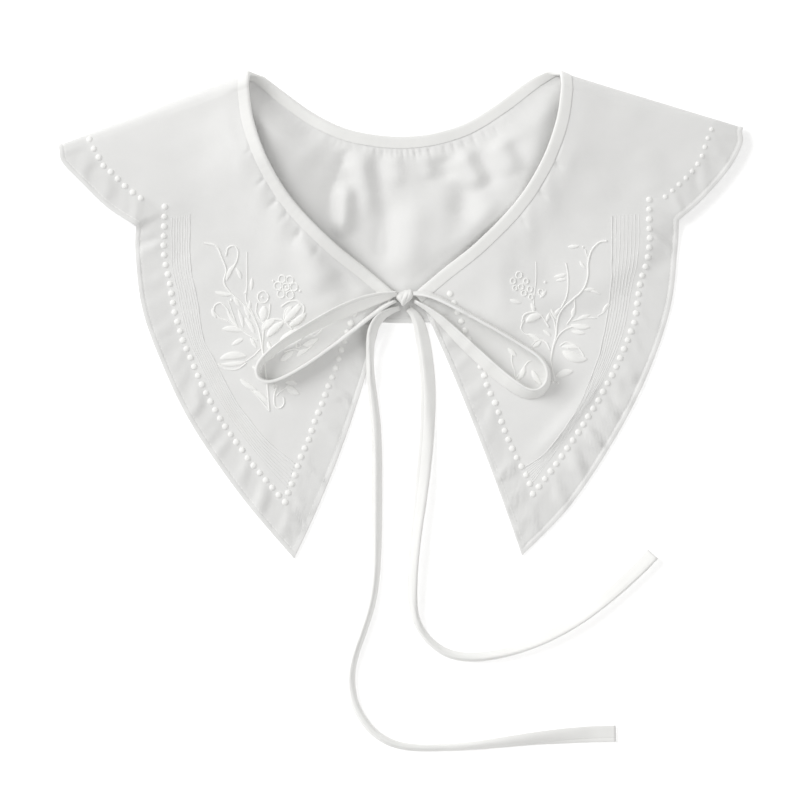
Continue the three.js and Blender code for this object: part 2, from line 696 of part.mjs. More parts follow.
const body = [
  cloth,
  binding,
  knot,
  ribbon("bow_loop_left", LOOP_LEFT, LOOP_LENGTH, LOOP_STEP),
  ribbon("bow_loop_right", LOOP_RIGHT, LOOP_LENGTH, LOOP_STEP),
];
const tails = [
  ribbon("tie_tail_left", TAIL_LEFT, 1, TAIL_STEP),
  ribbon("tie_tail_right", TAIL_RIGHT, 1, TAIL_STEP),
];

const collar = new THREE.Group();
collar.add(...body);
// The origin is on the table under the middle of the collar, its loose tails left out.
const box = new THREE.Box3().setFromObject(collar);
const middle = box.getCenter(new THREE.Vector3());
collar.add(...tails);
collar.position.set(-middle.x, -middle.y, -box.min.z);

const part = new THREE.Group();
part.add(collar);

export default part;
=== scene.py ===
# The looks of a white cotton detachable collar that lies flat, seen from above. The solids of
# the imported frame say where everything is. This script builds their surfaces again with finer
# folds, and adds the needlework. Tables are in millimetres, in shares of the named sizes or,
# where they say so, in pixels of the photograph. Meshes are in metres.
import math

import bpy
import numpy as np
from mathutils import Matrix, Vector, noise
from mathutils.bvhtree import BVHTree


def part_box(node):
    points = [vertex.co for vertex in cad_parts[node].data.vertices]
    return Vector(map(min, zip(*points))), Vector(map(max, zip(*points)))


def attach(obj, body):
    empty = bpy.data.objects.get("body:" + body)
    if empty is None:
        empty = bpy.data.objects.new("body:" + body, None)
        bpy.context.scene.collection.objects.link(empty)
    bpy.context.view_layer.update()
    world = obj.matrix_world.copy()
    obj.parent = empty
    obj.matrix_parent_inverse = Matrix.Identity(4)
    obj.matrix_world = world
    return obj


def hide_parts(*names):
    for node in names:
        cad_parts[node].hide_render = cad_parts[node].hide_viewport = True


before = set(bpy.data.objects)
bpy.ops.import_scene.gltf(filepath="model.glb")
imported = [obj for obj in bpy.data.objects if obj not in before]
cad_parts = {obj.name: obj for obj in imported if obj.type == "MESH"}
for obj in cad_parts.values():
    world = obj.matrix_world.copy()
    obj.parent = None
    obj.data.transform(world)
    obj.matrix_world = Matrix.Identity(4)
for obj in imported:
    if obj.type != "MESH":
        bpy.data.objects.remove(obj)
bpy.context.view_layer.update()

MM = 0.001
TINY = 1e-9  # keeps a division from failing

# The collar's sizes, as in the source of its solids
COLLAR_SPAN = 411
NECK_WIDTH = 185
FRONT_NECK_DROP = 135
BACK_NECK_DROP = 38
NOTCH_DROP = 90
LAPEL_DROP = 291
BACK_DEPTH = 112
CLOTH = 1
BINDING_WIDTH = 7.2
BINDING_WALL = 1
RIBBON_WIDTH = 10
RIBBON_THICKNESS = 1
SEAM_GAP = 0.3
NECK_ROLL = 8
WING_ROLL = 2.6
LAYER_GAP = 1.6
ROLL_RUN = 95
DRAPE_RUN = 18
SETTLE_RUN = 28
SQUARE_RUN = 32
KNOT_WIDTH = 10
KNOT_LENGTH = 11
KNOT_HEIGHT = 8
LOOP_LENGTH = 90

HALF_SPAN = COLLAR_SPAN / 2
HALF_NECK = NECK_WIDTH / 2
HEM_DROP = BACK_NECK_DROP + BACK_DEPTH
CLOTH_INSET = BINDING_WALL + SEAM_GAP
BINDING_THICKNESS = CLOTH + 2 * CLOTH_INSET
SEAM = BINDING_WIDTH + SEAM_GAP

# The plan's origin is the middle of the neck line; the row's is under the collar's middle.
knot_low, knot_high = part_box("bow_knot")
knot_centre = (knot_low + knot_high) / (2 * MM)
SHIFT = np.array([knot_centre.x, knot_centre.y + FRONT_NECK_DROP])

# A pixel of the photograph on the plan
MM_PER_PIXEL = 0.6
KNOT_PIXEL = (405, 298)
PHOTO_PIXELS = 800


def plan(pixels):
    p = (np.array(pixels, float) - KNOT_PIXEL) * MM_PER_PIXEL
    return np.stack([p[..., 0], -p[..., 1] - FRONT_NECK_DROP], -1)


# The outlines: across as shares of half the span or neck, down as shares of a drop
SIGN = {"left": -1, "right": 1}
FRONT_PETAL = {
    "left": [(1.013, 0.487), (1, 0.597), (0.949, 0.72), (0.867, 0.9), (0.785, 1.02)],
    "right": [(0.987, 0.367), (0.984, 0.477), (0.946, 0.64), (0.87, 0.84), (0.8, 0.98)],
}
BACK_PETAL = {
    "left": [(0.99, 0.607), (0.931, 0.747), (0.853, 0.9), (0.745, 1.007)],
    "right": [(0.972, 0.5), (0.931, 0.653), (0.853, 0.853), (0.75, 0.973)],
}
LAPEL_EDGE = {
    "left": [
        (0.788, 0.084), (0.771, 0.242), (0.721, 0.394), (0.628, 0.594), (0.482, 0.812), (0.324, 1.003),
    ],
    "right": [
        (0.797, 0.069), (0.777, 0.248), (0.715, 0.439), (0.622, 0.63), (0.485, 0.842), (0.342, 0.994),
    ],
}
HEM_EDGE = {
    "left": [(0.724, 0.162), (0.642, 0.404), (0.526, 0.626), (0.272, 0.909)],
    "right": [(0.73, 0.1), (0.642, 0.384), (0.526, 0.626), (0.272, 0.909)],
}
FRONT_NECK = [(0.976, 0.213), (0.882, 0.391), (0.72, 0.569), (0.47, 0.747), (0.236, 0.876)]
BACK_NECK = {
    "left": [(0.9, 0.06), (0.8, 0.27), (0.6, 0.62), (0.4, 0.86), (0.2, 0.97)],
    "right": [(0.9, -0.02), (0.8, 0.12), (0.6, 0.48), (0.4, 0.78), (0.2, 0.94)],
}
INNER_EDGE_BOW = {"left": -0.028, "right": 0.012}
INNER_EDGE_TOP = (2.0, 1.75)
TIP_SHARE = 0.42
NOTCH_SHARE = 0.8
PETAL_SHARE = 0.16

# Gathers: share of the neckline, width and height over the binding's width, reach
BACK_GATHERS = [
    (0.17, 0.9, 0.2, 0.5), (0.26, 0.7, 0.26, 0.42), (0.33, 0.9, 0.3, 0.62), (0.4, 0.6, 0.24, 0.34),
    (0.46, 0.7, 0.28, 0.5), (0.52, 0.8, 0.3, 0.66), (0.59, 0.6, 0.22, 0.36), (0.65, 0.8, 0.28, 0.55),
    (0.72, 0.9, 0.3, 0.68), (0.8, 0.8, 0.24, 0.46),
]
FRONT_GATHERS = [(0.52, 0.8, 0.12, 0.16), (0.64, 0.8, 0.12, 0.14), (0.76, 0.8, 0.1, 0.14)]

# Ribbon: x, y, roll in degrees, share of its width
LOOP_LEFT = [
    (-0.055, 0.03, 56, 0.4), (-0.15, 0.006, 36, 0.75), (-0.28, -0.034, 30, 0.95),
    (-0.41, -0.087, 36, 1), (-0.54, -0.149, 46, 1), (-0.67, -0.219, 55, 1), (-0.8, -0.296, 62, 1),
    (-0.9, -0.369, 69, 1), (-0.96, -0.427, 76, 1), (-0.982, -0.478, 80, 1), (-0.973, -0.527, 84, 1),
    (-0.933, -0.555, 86, 1), (-0.867, -0.55, 88, 1), (-0.767, -0.507, 88, 1), (-0.633, -0.427, 88, 1),
    (-0.5, -0.333, 88, 0.95), (-0.367, -0.233, 84, 0.85), (-0.25, -0.14, 80, 0.7),
    (-0.15, -0.066, 74, 0.5), (-0.06, -0.018, 70, 0.3),
]
LOOP_RIGHT = [
    (0.055, 0.03, 66, 0.4), (0.14, 0.024, 70, 0.7), (0.24, -0.012, 78, 0.9), (0.367, -0.08, 84, 1),
    (0.5, -0.153, 86, 1), (0.633, -0.227, 86, 1), (0.767, -0.307, 86, 1), (0.88, -0.38, 84, 1),
    (0.938, -0.45, 82, 1), (0.955, -0.52, 78, 1), (0.935, -0.59, 70, 1), (0.88, -0.635, 60, 1),
    (0.8, -0.63, 50, 1), (0.7, -0.57, 44, 1), (0.6, -0.49, 42, 1), (0.487, -0.387, 42, 0.95),
    (0.367, -0.273, 42, 0.9), (0.247, -0.155, 48, 0.75), (0.155, -0.078, 56, 0.5),
    (0.06, -0.02, 66, 0.3),
]
# Loose ends: x, y, the slope of the ribbon up to its fold and down from it in degrees,
# where the fold is from -1 to 1, share of its width
TAIL_LEFT = [
    (-3.2, -6, 40, 0, 1, 0.3), (-9.6, -8.2, 45, 20, 1, 0.55), (-15, -12, 50, 40, 0.95, 0.8),
    (-18.6, -17.5, 56, 50, 0.8, 0.95), (-20.4, -24, 62, 58, 0.5, 1), (-21, -34, 68, 64, 0.25, 1),
    (-20.7, -45, 66, 66, 0.1, 1), (-19.2, -60, 60, 60, 0.05, 1), (-17.7, -76, 54, 54, 0.05, 1),
    (-17, -94, 52, 52, 0.1, 1), (-17, -116, 50, 50, 0.1, 1), (-17, -140, 52, 54, 0.1, 1),
    (-17.4, -161, 60, 60, 0.1, 1), (-19, -177, 62, 62, 0.1, 1), (-22, -190, 62, 62, 0.1, 1),
    (-26, -202, 63, 63, 0.1, 1), (-29.8, -213, 64, 64, 0.1, 1), (-32, -223, 64, 64, 0.05, 1),
    (-32.3, -232, 64, 64, 0, 1), (-30.5, -242, 64, 64, -0.05, 1), (-26.4, -251, 64, 64, -0.1, 1),
    (-20.4, -259, 65, 65, -0.1, 1), (-12.6, -265, 66, 66, -0.1, 1), (-3.6, -268.5, 67, 68, -0.1, 1),
    (8, -270, 68, 69, -0.15, 1), (24, -269.8, 66, 70, -0.2, 1), (42, -268.5, 36, 72, -0.3, 1),
    (60, -266.4, 18, 62, -0.22, 1), (78, -264.3, 10, 48, -0.25, 1), (96, -262.8, 6, 26, -0.3, 1),
    (112, -261.9, 4, 8, -0.6, 1), (126.6, -261.6, 1, 2, -0.6, 1),
]
TAIL_RIGHT = [
    (2, -6.4, 20, 10, 0.6, 0.36), (5.6, -10, 24, 16, 0.5, 0.6), (8.4, -15.5, 26, 24, 0.45, 0.8),
    (10.5, -24.6, 27, 32, 0.4, 1), (12.6, -37.8, 27, 34, 0.4, 1), (13.8, -51, 26, 32, 0.35, 1),
    (13.8, -66.6, 24, 26, 0.1, 1), (12.9, -84.6, 45, 22, -0.5, 1), (11.1, -103.8, 60, 28, -0.7, 1),
    (9, -121.8, 66, 38, -0.75, 1), (6.6, -140, 70, 44, -0.75, 1), (4.8, -158, 70, 48, -0.72, 1),
    (4.2, -171, 70, 50, -0.65, 1), (4.6, -183, 70, 55, -0.5, 1), (6.6, -192.6, 68, 64, -0.25, 1),
    (10.8, -201, 67, 67, 0, 1), (16.8, -207.6, 66, 67, 0.1, 1), (24.6, -212.7, 62, 64, 0.2, 1),
    (33.6, -215.1, 61, 64, 0.3, 1), (43.8, -215.4, 60, 64, 0.35, 1), (55.2, -213.9, 60, 66, 0.45, 1),
    (67.8, -210.6, 58, 68, 0.5, 1), (81, -205.5, 52, 70, 0.55, 1), (94.2, -198.9, 50, 72, 0.6, 1),
    (106.8, -191.1, 49, 72, 0.62, 1), (118.8, -181.8, 44, 70, 0.65, 1),
    (130.2, -171.9, 38, 66, 0.7, 1), (141, -161.7, 36, 62, 0.72, 1), (148.8, -153.6, 36, 60, 0.72, 1),
]


# Curves and small tools
CURVE_STEPS = 32  # between two points of a line
NEARBY = 0.003  # the share of a line over which its direction is taken


def smooth(t):
    t = np.clip(t, 0, 1)
    return t * t * (3 - 2 * t)


def hump(away, width):
    """One in the middle, and falling off on both sides."""
    return np.exp(-((away / width) ** 2))


def steps(points):
    """How far along each point is on the way through all of them."""
    return np.concatenate([[0], np.cumsum(np.linalg.norm(np.diff(points, axis=0), axis=1))])


def unit(v):
    return v / np.maximum(np.linalg.norm(v, axis=-1, keepdims=True), TINY)


class Line:
    """A smooth line through points, looked up by its share of length."""

    def __init__(self, points, straight=False):
        p = np.array(points, float)
        if not straight:
            t = np.linspace(0, 1, CURVE_STEPS, endpoint=False)[:, None]
            ends = np.vstack([p[:1], p, p[-1:]])
            spans = []
            for a, b, c, d in zip(ends, ends[1:], ends[2:], ends[3:]):
                v, w = (c - a) / 2, (d - b) / 2
                cubic, square = 2 * b - 2 * c + v + w, 3 * c - 3 * b - 2 * v - w
                spans.append(cubic * t**3 + square * t**2 + v * t + b)
            p = np.vstack([*spans, p[-1:]])
        self.points = p
        self.lengths = steps(p)
        self.length = self.lengths[-1]

    def at(self, share):
        s = np.asarray(share, float) * self.length
        return np.stack([np.interp(s, self.lengths, column) for column in self.points.T], -1)

    def run(self, share):
        share = np.asarray(share, float)
        ahead, behind = np.minimum(share + NEARBY, 1), np.maximum(share - NEARBY, 0)
        return unit(self.at(ahead) - self.at(behind))


def outline(rows, side, start, end):
    x, y = np.array(rows[side]).T
    return np.stack([SIGN[side] * x * HALF_SPAN, -(start + (end - start) * y)], -1)


def nearest(points, line):
    """The distance of each point to a line, and how far along the line it is nearest."""
    a, b = line.points[:-1], line.points[1:]
    best = np.full(len(points), np.inf)
    place = np.zeros(len(points))
    for i, (p, q) in enumerate(zip(a, b)):
        run = q - p
        share = np.clip((points - p) @ run / max(run @ run, TINY), 0, 1)
        away = np.linalg.norm(points - p - share[:, None] * run, axis=1)
        closer = away < best
        best[closer] = away[closer]
        place[closer] = line.lengths[i] + share[closer] * np.linalg.norm(run)
    return best, place


def is_inside(points, polygon):
    inside = np.zeros(len(points), bool)
    x, y = points.T
    for a, b in zip(polygon, np.roll(polygon, -1, axis=0)):
        crosses = (a[1] > y) != (b[1] > y)
        at = a[0] + (b[0] - a[0]) * (y - a[1]) / (b[1] - a[1] or TINY)
        inside ^= crosses & (x < at)
    return inside


def ripple(points, size, seed):
    """Soft irregular waves from -1 to 1, with hills about size across."""
    return np.array([noise.noise(Vector((x / size, y / size, seed))) for x, y in points])


# The collar's plan
OPENING_LEAN = 0.1  # how far the front's cloth leans inward where it leaves the fold at the neck
INNER_EDGE_POINTS = 60


class Fold:
    """The rolled fold on a shoulder, from the neck to the petal's tip."""

    def __init__(self, side):
        sign = SIGN[side]
        self.neck = np.array([sign * HALF_NECK, 0.0])
        self.tip = outline(FRONT_PETAL, side, 0, NOTCH_DROP)[0]
        self.length = np.linalg.norm(self.tip - self.neck)
        self.along = (self.tip - self.neck) / self.length
        self.inward = np.array([sign * self.along[1], -sign * self.along[0]])
        x, y = BACK_NECK[side][0]
        self.front = unit(np.array([sign * OPENING_LEAN, -1]))
        self.back = unit(np.array([sign * x * HALF_NECK, -y * BACK_NECK_DROP]) - self.neck)

    def radius(self, share):
        return NECK_ROLL + (WING_ROLL - NECK_ROLL) * np.clip(share, 0, 1)

    def roll(self, share, turn):
        """The plan's points on the roll, turned from 90 at the front to -90 at the back."""
        share, turn = np.broadcast_arrays(np.asarray(share, float), np.asarray(turn, float))
        opening = np.where(turn[..., None] > 0, self.front, self.back)
        way = unit(opening + (self.inward - opening) * smooth(share * 2)[..., None])
        out = self.radius(share) * (1 - np.cos(np.radians(turn)))
        start = self.neck + (self.tip - self.neck) * share[..., None]
        return start + way * out[..., None]


FOLDS = {side: Fold(side) for side in SIGN}


class Lapel:
    """The outline of a front: its neckline, and its edge in three parts."""

    def __init__(self, side):
        sign, fold = SIGN[side], FOLDS[side]
        petal = outline(FRONT_PETAL, side, 0, NOTCH_DROP)
        edge = outline(LAPEL_EDGE, side, NOTCH_DROP, LAPEL_DROP)
        start = [sign * (KNOT_WIDTH / 2 + SEAM_GAP), KNOT_LENGTH / 4 - FRONT_NECK_DROP]
        rows = [(sign * x * HALF_NECK, -y * FRONT_NECK_DROP) for x, y in FRONT_NECK]
        corner = np.array([
            sign * INNER_EDGE_TOP[0] * BINDING_WIDTH,
            -FRONT_NECK_DROP - INNER_EDGE_TOP[1] * BINDING_WIDTH,
        ])
        tip = edge[-1]
        run = tip - corner
        aside = np.array([-sign * run[1], sign * run[0]])
        bow = (corner + tip) / 2 + aside * 2 * INNER_EDGE_BOW[side]
        t = np.linspace(0, 1, INNER_EDGE_POINTS)[:, None]
        inner = (1 - t) ** 2 * corner + 2 * t * (1 - t) * bow + t**2 * tip
        self.neckline = Line([start, *rows[::-1], fold.roll(0, 90)])
        self.inner = Line(inner, straight=True)
        self.outer = Line([petal[-1], *edge][::-1])
        self.petal = Line([fold.roll(1, 90), *petal[1:]][::-1])
        self.notch = petal[-1]


LAPELS = {side: Lapel(side) for side in SIGN}


def back_lines():
    petal, hem, neck = {}, {}, {}
    for s, sign in SIGN.items():
        petal[s] = [FOLDS[s].roll(1, -90), *outline(BACK_PETAL, s, 0, NOTCH_DROP)]
        hem[s] = outline(HEM_EDGE, s, NOTCH_DROP, HEM_DROP)
        points = [(sign * x * HALF_NECK, -y * BACK_NECK_DROP) for x, y in BACK_NECK[s][1:]]
        neck[s] = [FOLDS[s].roll(0, -90), *points]
    whole = [petal["left"][-1], *hem["left"], (0, -HEM_DROP), *hem["right"][::-1], petal["right"][-1]]
    return {
        "left": Line(petal["left"]),
        "hem": Line(whole),
        "right": Line(petal["right"][::-1]),
        "neck": Line([*neck["left"], (0, -BACK_NECK_DROP), *neck["right"][::-1]]),
    }


BACK = back_lines()
PETAL_POINTS = np.linspace(0, 1, 13)
HEM_POINTS = np.linspace(0, 1, 49)
BACK_OUTLINE = Line(
    np.vstack([
        FOLDS["left"].neck, FOLDS["left"].tip,
        BACK["left"].at(PETAL_POINTS), BACK["hem"].at(HEM_POINTS), BACK["right"].at(PETAL_POINTS),
        FOLDS["right"].tip, FOLDS["right"].neck, FOLDS["left"].neck,
    ]),
    straight=True,
)
THROAT = Line(
    np.vstack([LAPELS["left"].neckline.points, LAPELS["right"].neckline.points[::-1]]),
    straight=True,
)


# How the cloth's middle lies above the table
def seat(distance):
    lift = (BINDING_THICKNESS - CLOTH) / 2
    return CLOTH / 2 + lift * (1 - smooth((distance - BINDING_WIDTH) / SETTLE_RUN))


def cover(points):
    away, _ = nearest(points, BACK_OUTLINE)
    on = is_inside(points, BACK_OUTLINE.points[:-1])
    return np.where(on, 1, smooth(1 - away / DRAPE_RUN))


def roll_rise(side, points):
    fold = FOLDS[side]
    start = points - fold.neck
    radius = fold.radius(start @ fold.along / fold.length)
    share = (start @ fold.inward - radius) / ROLL_RUN
    return (2 * radius - CLOTH - LAYER_GAP) * (1 - smooth(share))


def gathers(rows, at, neck_length, distance, depth):
    height = np.zeros_like(distance)
    for place, width, rise, reach in rows:
        away = (at - place) * neck_length / (width * BINDING_WIDTH)
        share = np.clip((distance - SEAM) / (reach * depth), 0, 1)
        height += rise * BINDING_WIDTH * hump(away, 1) * np.sin(math.pi * np.sqrt(share))
    return height


# Finer folds, that only the looks have
# Soft ridges and dents: width and height in mm, then their line in pixels
BACK_FOLDS = [
    (5, 4.2, (346, 180), (345, 203), (343, 222), (339, 238)),
    (6, 2.8, (353, 148), (360, 166), (367, 186), (368, 202), (360, 216)),
    (4, -1, (343, 150), (345, 168)),
    (6, -1.3, (372, 150), (378, 172), (379, 195), (374, 214)),
    (4.5, 1.2, (393, 152), (398, 170), (396, 188)),
    (6, -1.8, (388, 196), (386, 222), (384, 246), (386, 268)),
    (9.5, 3, (420, 198), (416, 218), (412, 240), (410, 262), (410, 280)),
    (8.5, 1.9, (432, 178), (442, 205), (441, 235), (432, 262)),
    (5, -1.5, (441, 156), (444, 168), (450, 182)),
    (6, 3, (458, 150), (470, 166), (484, 188)),
    (5.5, -1.2, (474, 152), (484, 168), (496, 190)),
    (6.5, 2.1, (494, 138), (505, 152), (517, 174)),
    (5, -0.9, (510, 140), (518, 153), (524, 168)),
    (6, -1.6, (466, 180), (464, 200), (458, 222)),
    (8, 2.4, (500, 200), (484, 222), (468, 244), (452, 266)),
    (4, 1.2, (424, 152), (428, 168), (430, 180)),
]
# Small pleats at the back's binding: where each starts and how far it runs down and across, in
# pixels, and its depth in mm
PLEATS = [
    (352, 141, 12, 2, 0.5), (363, 143, 10, 1, 0.35), (376, 145, 12, 0, 0.6), (384, 146, 14, -1, 1),
    (388, 146, 10, 0, 0.7), (393, 147, 14, 1, 1), (398, 147, 11, 0, 0.8), (403, 147, 15, 1, 1),
    (409, 147, 11, 1, 0.8), (415, 147, 15, 2, 1.1), (421, 147, 9, 1, 0.6), (429, 146, 15, 3, 0.9),
    (437, 145, 10, 2, 0.6), (444, 144, 13, 3, 0.8), (453, 142, 14, 4, 0.9), (463, 139, 11, 4, 0.7),
    (473, 136, 13, 5, 0.8), (484, 131, 12, 5, 0.6), (495, 126, 11, 5, 0.6), (506, 120, 10, 5, 0.4),
]
PLEAT_START = 2  # pixels below its place
PLEAT_WIDTH = 0.9
# The fronts' ridges and dents, in the same units
FRONT_FOLDS = [
    (8, 3, (300, 232), (314, 262), (326, 296)),
    (6, -1.4, (338, 268), (346, 284), (354, 300)),
    (8, 0.8, (268, 205), (276, 240), (276, 280)),
    (10, 0.9, (560, 150), (590, 175), (610, 205)),
    (7, 1, (505, 250), (500, 285), (508, 315)),
    (8, -0.7, (530, 230), (548, 262), (552, 300)),
    (12, 0.9, (215, 110), (228, 150), (225, 190)),
    (8, -0.7, (176, 212), (180, 240), (192, 262)),
    (9, 0.8, (636, 150), (650, 176), (658, 200)),
    (7, -0.7, (288, 430), (282, 448), (280, 462)),
    (3.8, 2, (527, 460), (555, 436), (581, 405), (602, 374)),
    (3.4, 1.9, (603, 404), (621, 418)),
    (3.4, 1.9, (586, 430), (603, 446)),
    (3.2, 1.7, (619, 372), (638, 381)),
    (3, 1.5, (568, 454), (586, 471)),
]
# Left of this crease, in pixels, the back rises to the left front. On the right it rises a
# little to the other one.
BACK_CREASE = [(358, 138), (345, 158), (335, 182), (330, 208), (334, 238), (350, 260), (374, 282)]
LEFT_OF_CREASE = [(300, 420), (100, 420), (100, 0), (358, 0)]
LEFT_SLOPE = 0.42
LEFT_RISE = 13
RIGHT_RISE = 4.5
RIGHT_RUN = 48
RIGHT_START = 0.3  # the share of the right neckline from the knot where the rise starts
# Short pleats where the cloth is eased into the fronts' binding: both ends in pixels, depth
EASE_PLEATS = [
    (252, 152, 244, 156, 0.8), (265, 181, 255, 187, 1.3), (276, 202, 266, 208, 1.4),
    (287, 215, 276, 223, 1.2), (300, 233, 289, 242, 1.7), (317, 251, 309, 259, 1),
    (556, 165, 564, 170, 0.8), (541, 194, 549, 201, 0.9), (523, 222, 530, 230, 0.8),
]
EASE_WIDTH = 1.5


def ridges(points, rows):
    """Ridges that taper over a third of their length at each end, and are blunt at its tip."""
    height = np.zeros(len(points))
    for width, rise, *pixels in rows:
        line = Line(plan(pixels))
        away, place = nearest(points, line)
        taper = smooth(np.minimum(place, line.length - place) / (0.35 * line.length) + 0.15)
        height += rise * hump(away, 1.15 * width) * taper
    return height


def ease_pleats(points):
    height = np.zeros(len(points))
    for x, y, far_x, far_y, depth in EASE_PLEATS:
        line = Line(plan([(x, y), (far_x, far_y)]), straight=True)
        away, place = nearest(points, line)
        height -= depth * hump(away, EASE_WIDTH) * (1 - smooth(place / line.length)) ** 0.7
    return height


# The crease next to a notch: its height, width and reach
NOTCH_HEIGHT = 2.1
NOTCH_WIDTH = 2.4
NOTCH_REACH = 15


def notch_step(side, points):
    """Next to the notch the petal lies over the lapel in a small crease."""
    from_notch = points - LAPELS[side].notch
    inward = unit(np.array([-SIGN[side], 0.45]))
    over = from_notch @ np.array([-inward[1], inward[0]]) * -SIGN[side]
    near = hump(np.linalg.norm(from_notch, axis=1), NOTCH_REACH)
    return NOTCH_HEIGHT * near * (smooth(over / NOTCH_WIDTH + 0.5) - 0.35)


# The fronts stand off the back along the neck: height, and how far in it fades
NECK_LIFT = {"left": 10.5, "right": 1.5}
LIFT_RUN = 60
# Shares of the neckline: where the lift starts, grows and ends before the shoulder
LIFT_START, LIFT_GROWS, LIFT_ENDS = 0.04, 0.4, 0.3


def neck_lift(side, at, distance):
    along = smooth((at - LIFT_START) / LIFT_GROWS) * smooth((1 - at) / LIFT_ENDS)
    return NECK_LIFT[side] * along * (1 - smooth(distance / LIFT_RUN))


BORDER = 17.5  # width of the puckered border outside the dots
# Its puckers: length, how far they wander and over what length, share of the height
PUCKERS = [(3.1, 1.5, 17, 1), (1.9, 2, 11, 0.7)]
PUCKER_SLANT = 0.35
PUCKER_STRAY = 4.5
PUCKER_HEIGHT = 0.68
# How soon they grow from the edge, and fade before the dots
PUCKER_GROWS, PUCKER_FADES = 5, 6


def border_waves(points, run, inset):
    """Puckers across the border, aslant, and of a size that changes along it."""
    lean = run + PUCKER_SLANT * inset + PUCKER_STRAY * ripple(points, 11, 12)
    swell = sum(
        share * np.sin(lean / length + stray * np.sin(run / wander))
        for length, stray, wander, share in PUCKERS
    )
    size = PUCKER_HEIGHT + 0.25 * np.sin(run / 31) + 0.3 * ripple(points, 23, 13)
    return size * swell * smooth(inset / PUCKER_GROWS) * smooth((BORDER - inset) / PUCKER_FADES)


# The cloth as a ring of ribs
LIP_COLUMNS = 5
OPEN_COLUMNS = 54
HEM_INSETS = np.array([6, 5, 4.2, 3.6, 3.1, 2.6, 2, 1.2, 0.5, 0])
STEPS = {"inner": 52, "outer": 92, "petal": 40, "roll": 14, "back": 236}
RIB_CROWDING = 1.15  # over 1, the points crowd towards the neck
# Unevenness of the open cloth: height, size of its hills, seed
FRONT_SWELL = (0.275, 34, 3)
FRONT_DIMPLES = (0.22, 13, 7)
BACK_SWELL = (0.35, 16, 5)
BACK_LIFT = 1.4
BACK_FOLD_SHARE = 1.35
GATHER_SHARE = 0.55  # of the solid's gathers
PETAL_CALM = 0.4  # share of the puckers that a petal has
LOWEST = 0.66  # half of the hem's thickness, so that no cloth sinks into the table
THROAT_RUN = 14  # over which the back's folds flatten under a front
# Fine puckers of the back next to its seam: height, length and reach
FINE_HEIGHT, FINE_LENGTH, FINE_REACH = 0.13, 0.7, 4.5


def rib_distances(length):
    lip = np.linspace(CLOTH_INSET, SEAM, LIP_COLUMNS)
    share = np.linspace(0, 1, OPEN_COLUMNS + 1)[1:-1] ** RIB_CROWDING
    length = np.asarray(length, float)[:, None]
    inner = SEAM + (length - HEM_INSETS[0] - SEAM) * share
    return np.hstack([np.broadcast_to(lip, (len(length), LIP_COLUMNS)), inner, length - HEM_INSETS])


def flat_ribs(neckline, at, quarter, from_shoulder, edge):
    """Plan, distance from the neckline and depth of each rib's points.

    The ribs leave the neckline squarely, except next to a shoulder. quarter is 1 or -1, for the
    way from the neckline's run to the cloth.
    """
    neck, run = neckline.at(at), neckline.run(at)
    square = np.stack([-run[:, 1], run[:, 0]], -1) * quarter
    lean = smooth(from_shoulder / SQUARE_RUN)[:, None]
    outward = unit(unit(edge - neck) * (1 - lean) + square * lean)
    seam = neck + outward * SEAM
    length = SEAM + np.linalg.norm(edge - seam, axis=1)
    distance = rib_distances(length)
    onward = (distance - SEAM) / (length - SEAM)[:, None]
    under = neck[:, None] + outward[:, None] * distance[..., None]
    beyond = seam[:, None] + (edge - seam)[:, None] * onward[..., None]
    points = np.where(onward[..., None] < 0, under, beyond)
    return points, distance, np.broadcast_to(length[:, None], distance.shape)


def block(points, height, inset, run):
    shape = points.shape[:2]
    return {
        "points": np.dstack([points, np.reshape(height, shape)]),
        "inset": np.reshape(inset, shape),
        "run": np.reshape(run, shape),
    }


def lapel_block(side):
    lapel = LAPELS[side]
    spans = [
        (lapel.inner, 0, TIP_SHARE, STEPS["inner"]),
        (lapel.outer, TIP_SHARE, NOTCH_SHARE, STEPS["outer"]),
        (lapel.petal, NOTCH_SHARE, 1, STEPS["petal"]),
    ]
    at = np.concatenate([a + (b - a) * np.arange(n) / n for _, a, b, n in spans])
    edge = np.vstack([line.at(np.arange(n) / n) for line, _, _, n in spans])
    neck_length = lapel.neckline.length
    points, distance, depth = flat_ribs(lapel.neckline, at, -SIGN[side], (1 - at) * neck_length, edge)
    p, d = points.reshape(-1, 2), distance.ravel()
    at_each = np.repeat(at, distance.shape[1])
    outer = Line(np.vstack([lapel.petal.points[::-1], lapel.outer.points[::-1]]), straight=True)
    out_inset, out_run = nearest(p, outer)
    in_inset, in_run = nearest(p, lapel.inner)
    inset = np.minimum(out_inset, in_inset)
    run = np.where(out_inset < in_inset, out_run, outer.length + in_run)
    height = seat(d) + cover(p) * (CLOTH + LAYER_GAP) + roll_rise(side, p) + neck_lift(side, at_each, d)
    height += gathers(FRONT_GATHERS, at_each, neck_length, d, depth.ravel())
    open_cloth = smooth((d - SEAM) / 10)
    swell, size, seed = FRONT_SWELL
    height += open_cloth * (ridges(p, FRONT_FOLDS) + swell * (ripple(p, size, seed) + 1))
    dimple, size, seed = FRONT_DIMPLES
    height += open_cloth * dimple * ripple(p, size, seed) + smooth((d - SEAM) / 1.2) * ease_pleats(p)
    calm = PETAL_CALM + (1 - PETAL_CALM) * smooth((run - lapel.petal.length) / 14)
    height += calm * border_waves(p, run, inset) + notch_step(side, p)
    return block(points, np.maximum(height, seat(d)), inset, run)


def roll_block(side):
    fold = FOLDS[side]
    turn = np.linspace(90, -90, STEPS["roll"] + 1)
    distance = rib_distances(np.full(len(turn), fold.length))
    share = distance / fold.length
    turns = np.broadcast_to(turn[:, None], distance.shape)
    points = fold.roll(share, turns)
    height = seat(distance) + fold.radius(share) * (1 + np.sin(np.radians(turns)))
    return block(points, height, fold.length - distance, np.zeros_like(distance))


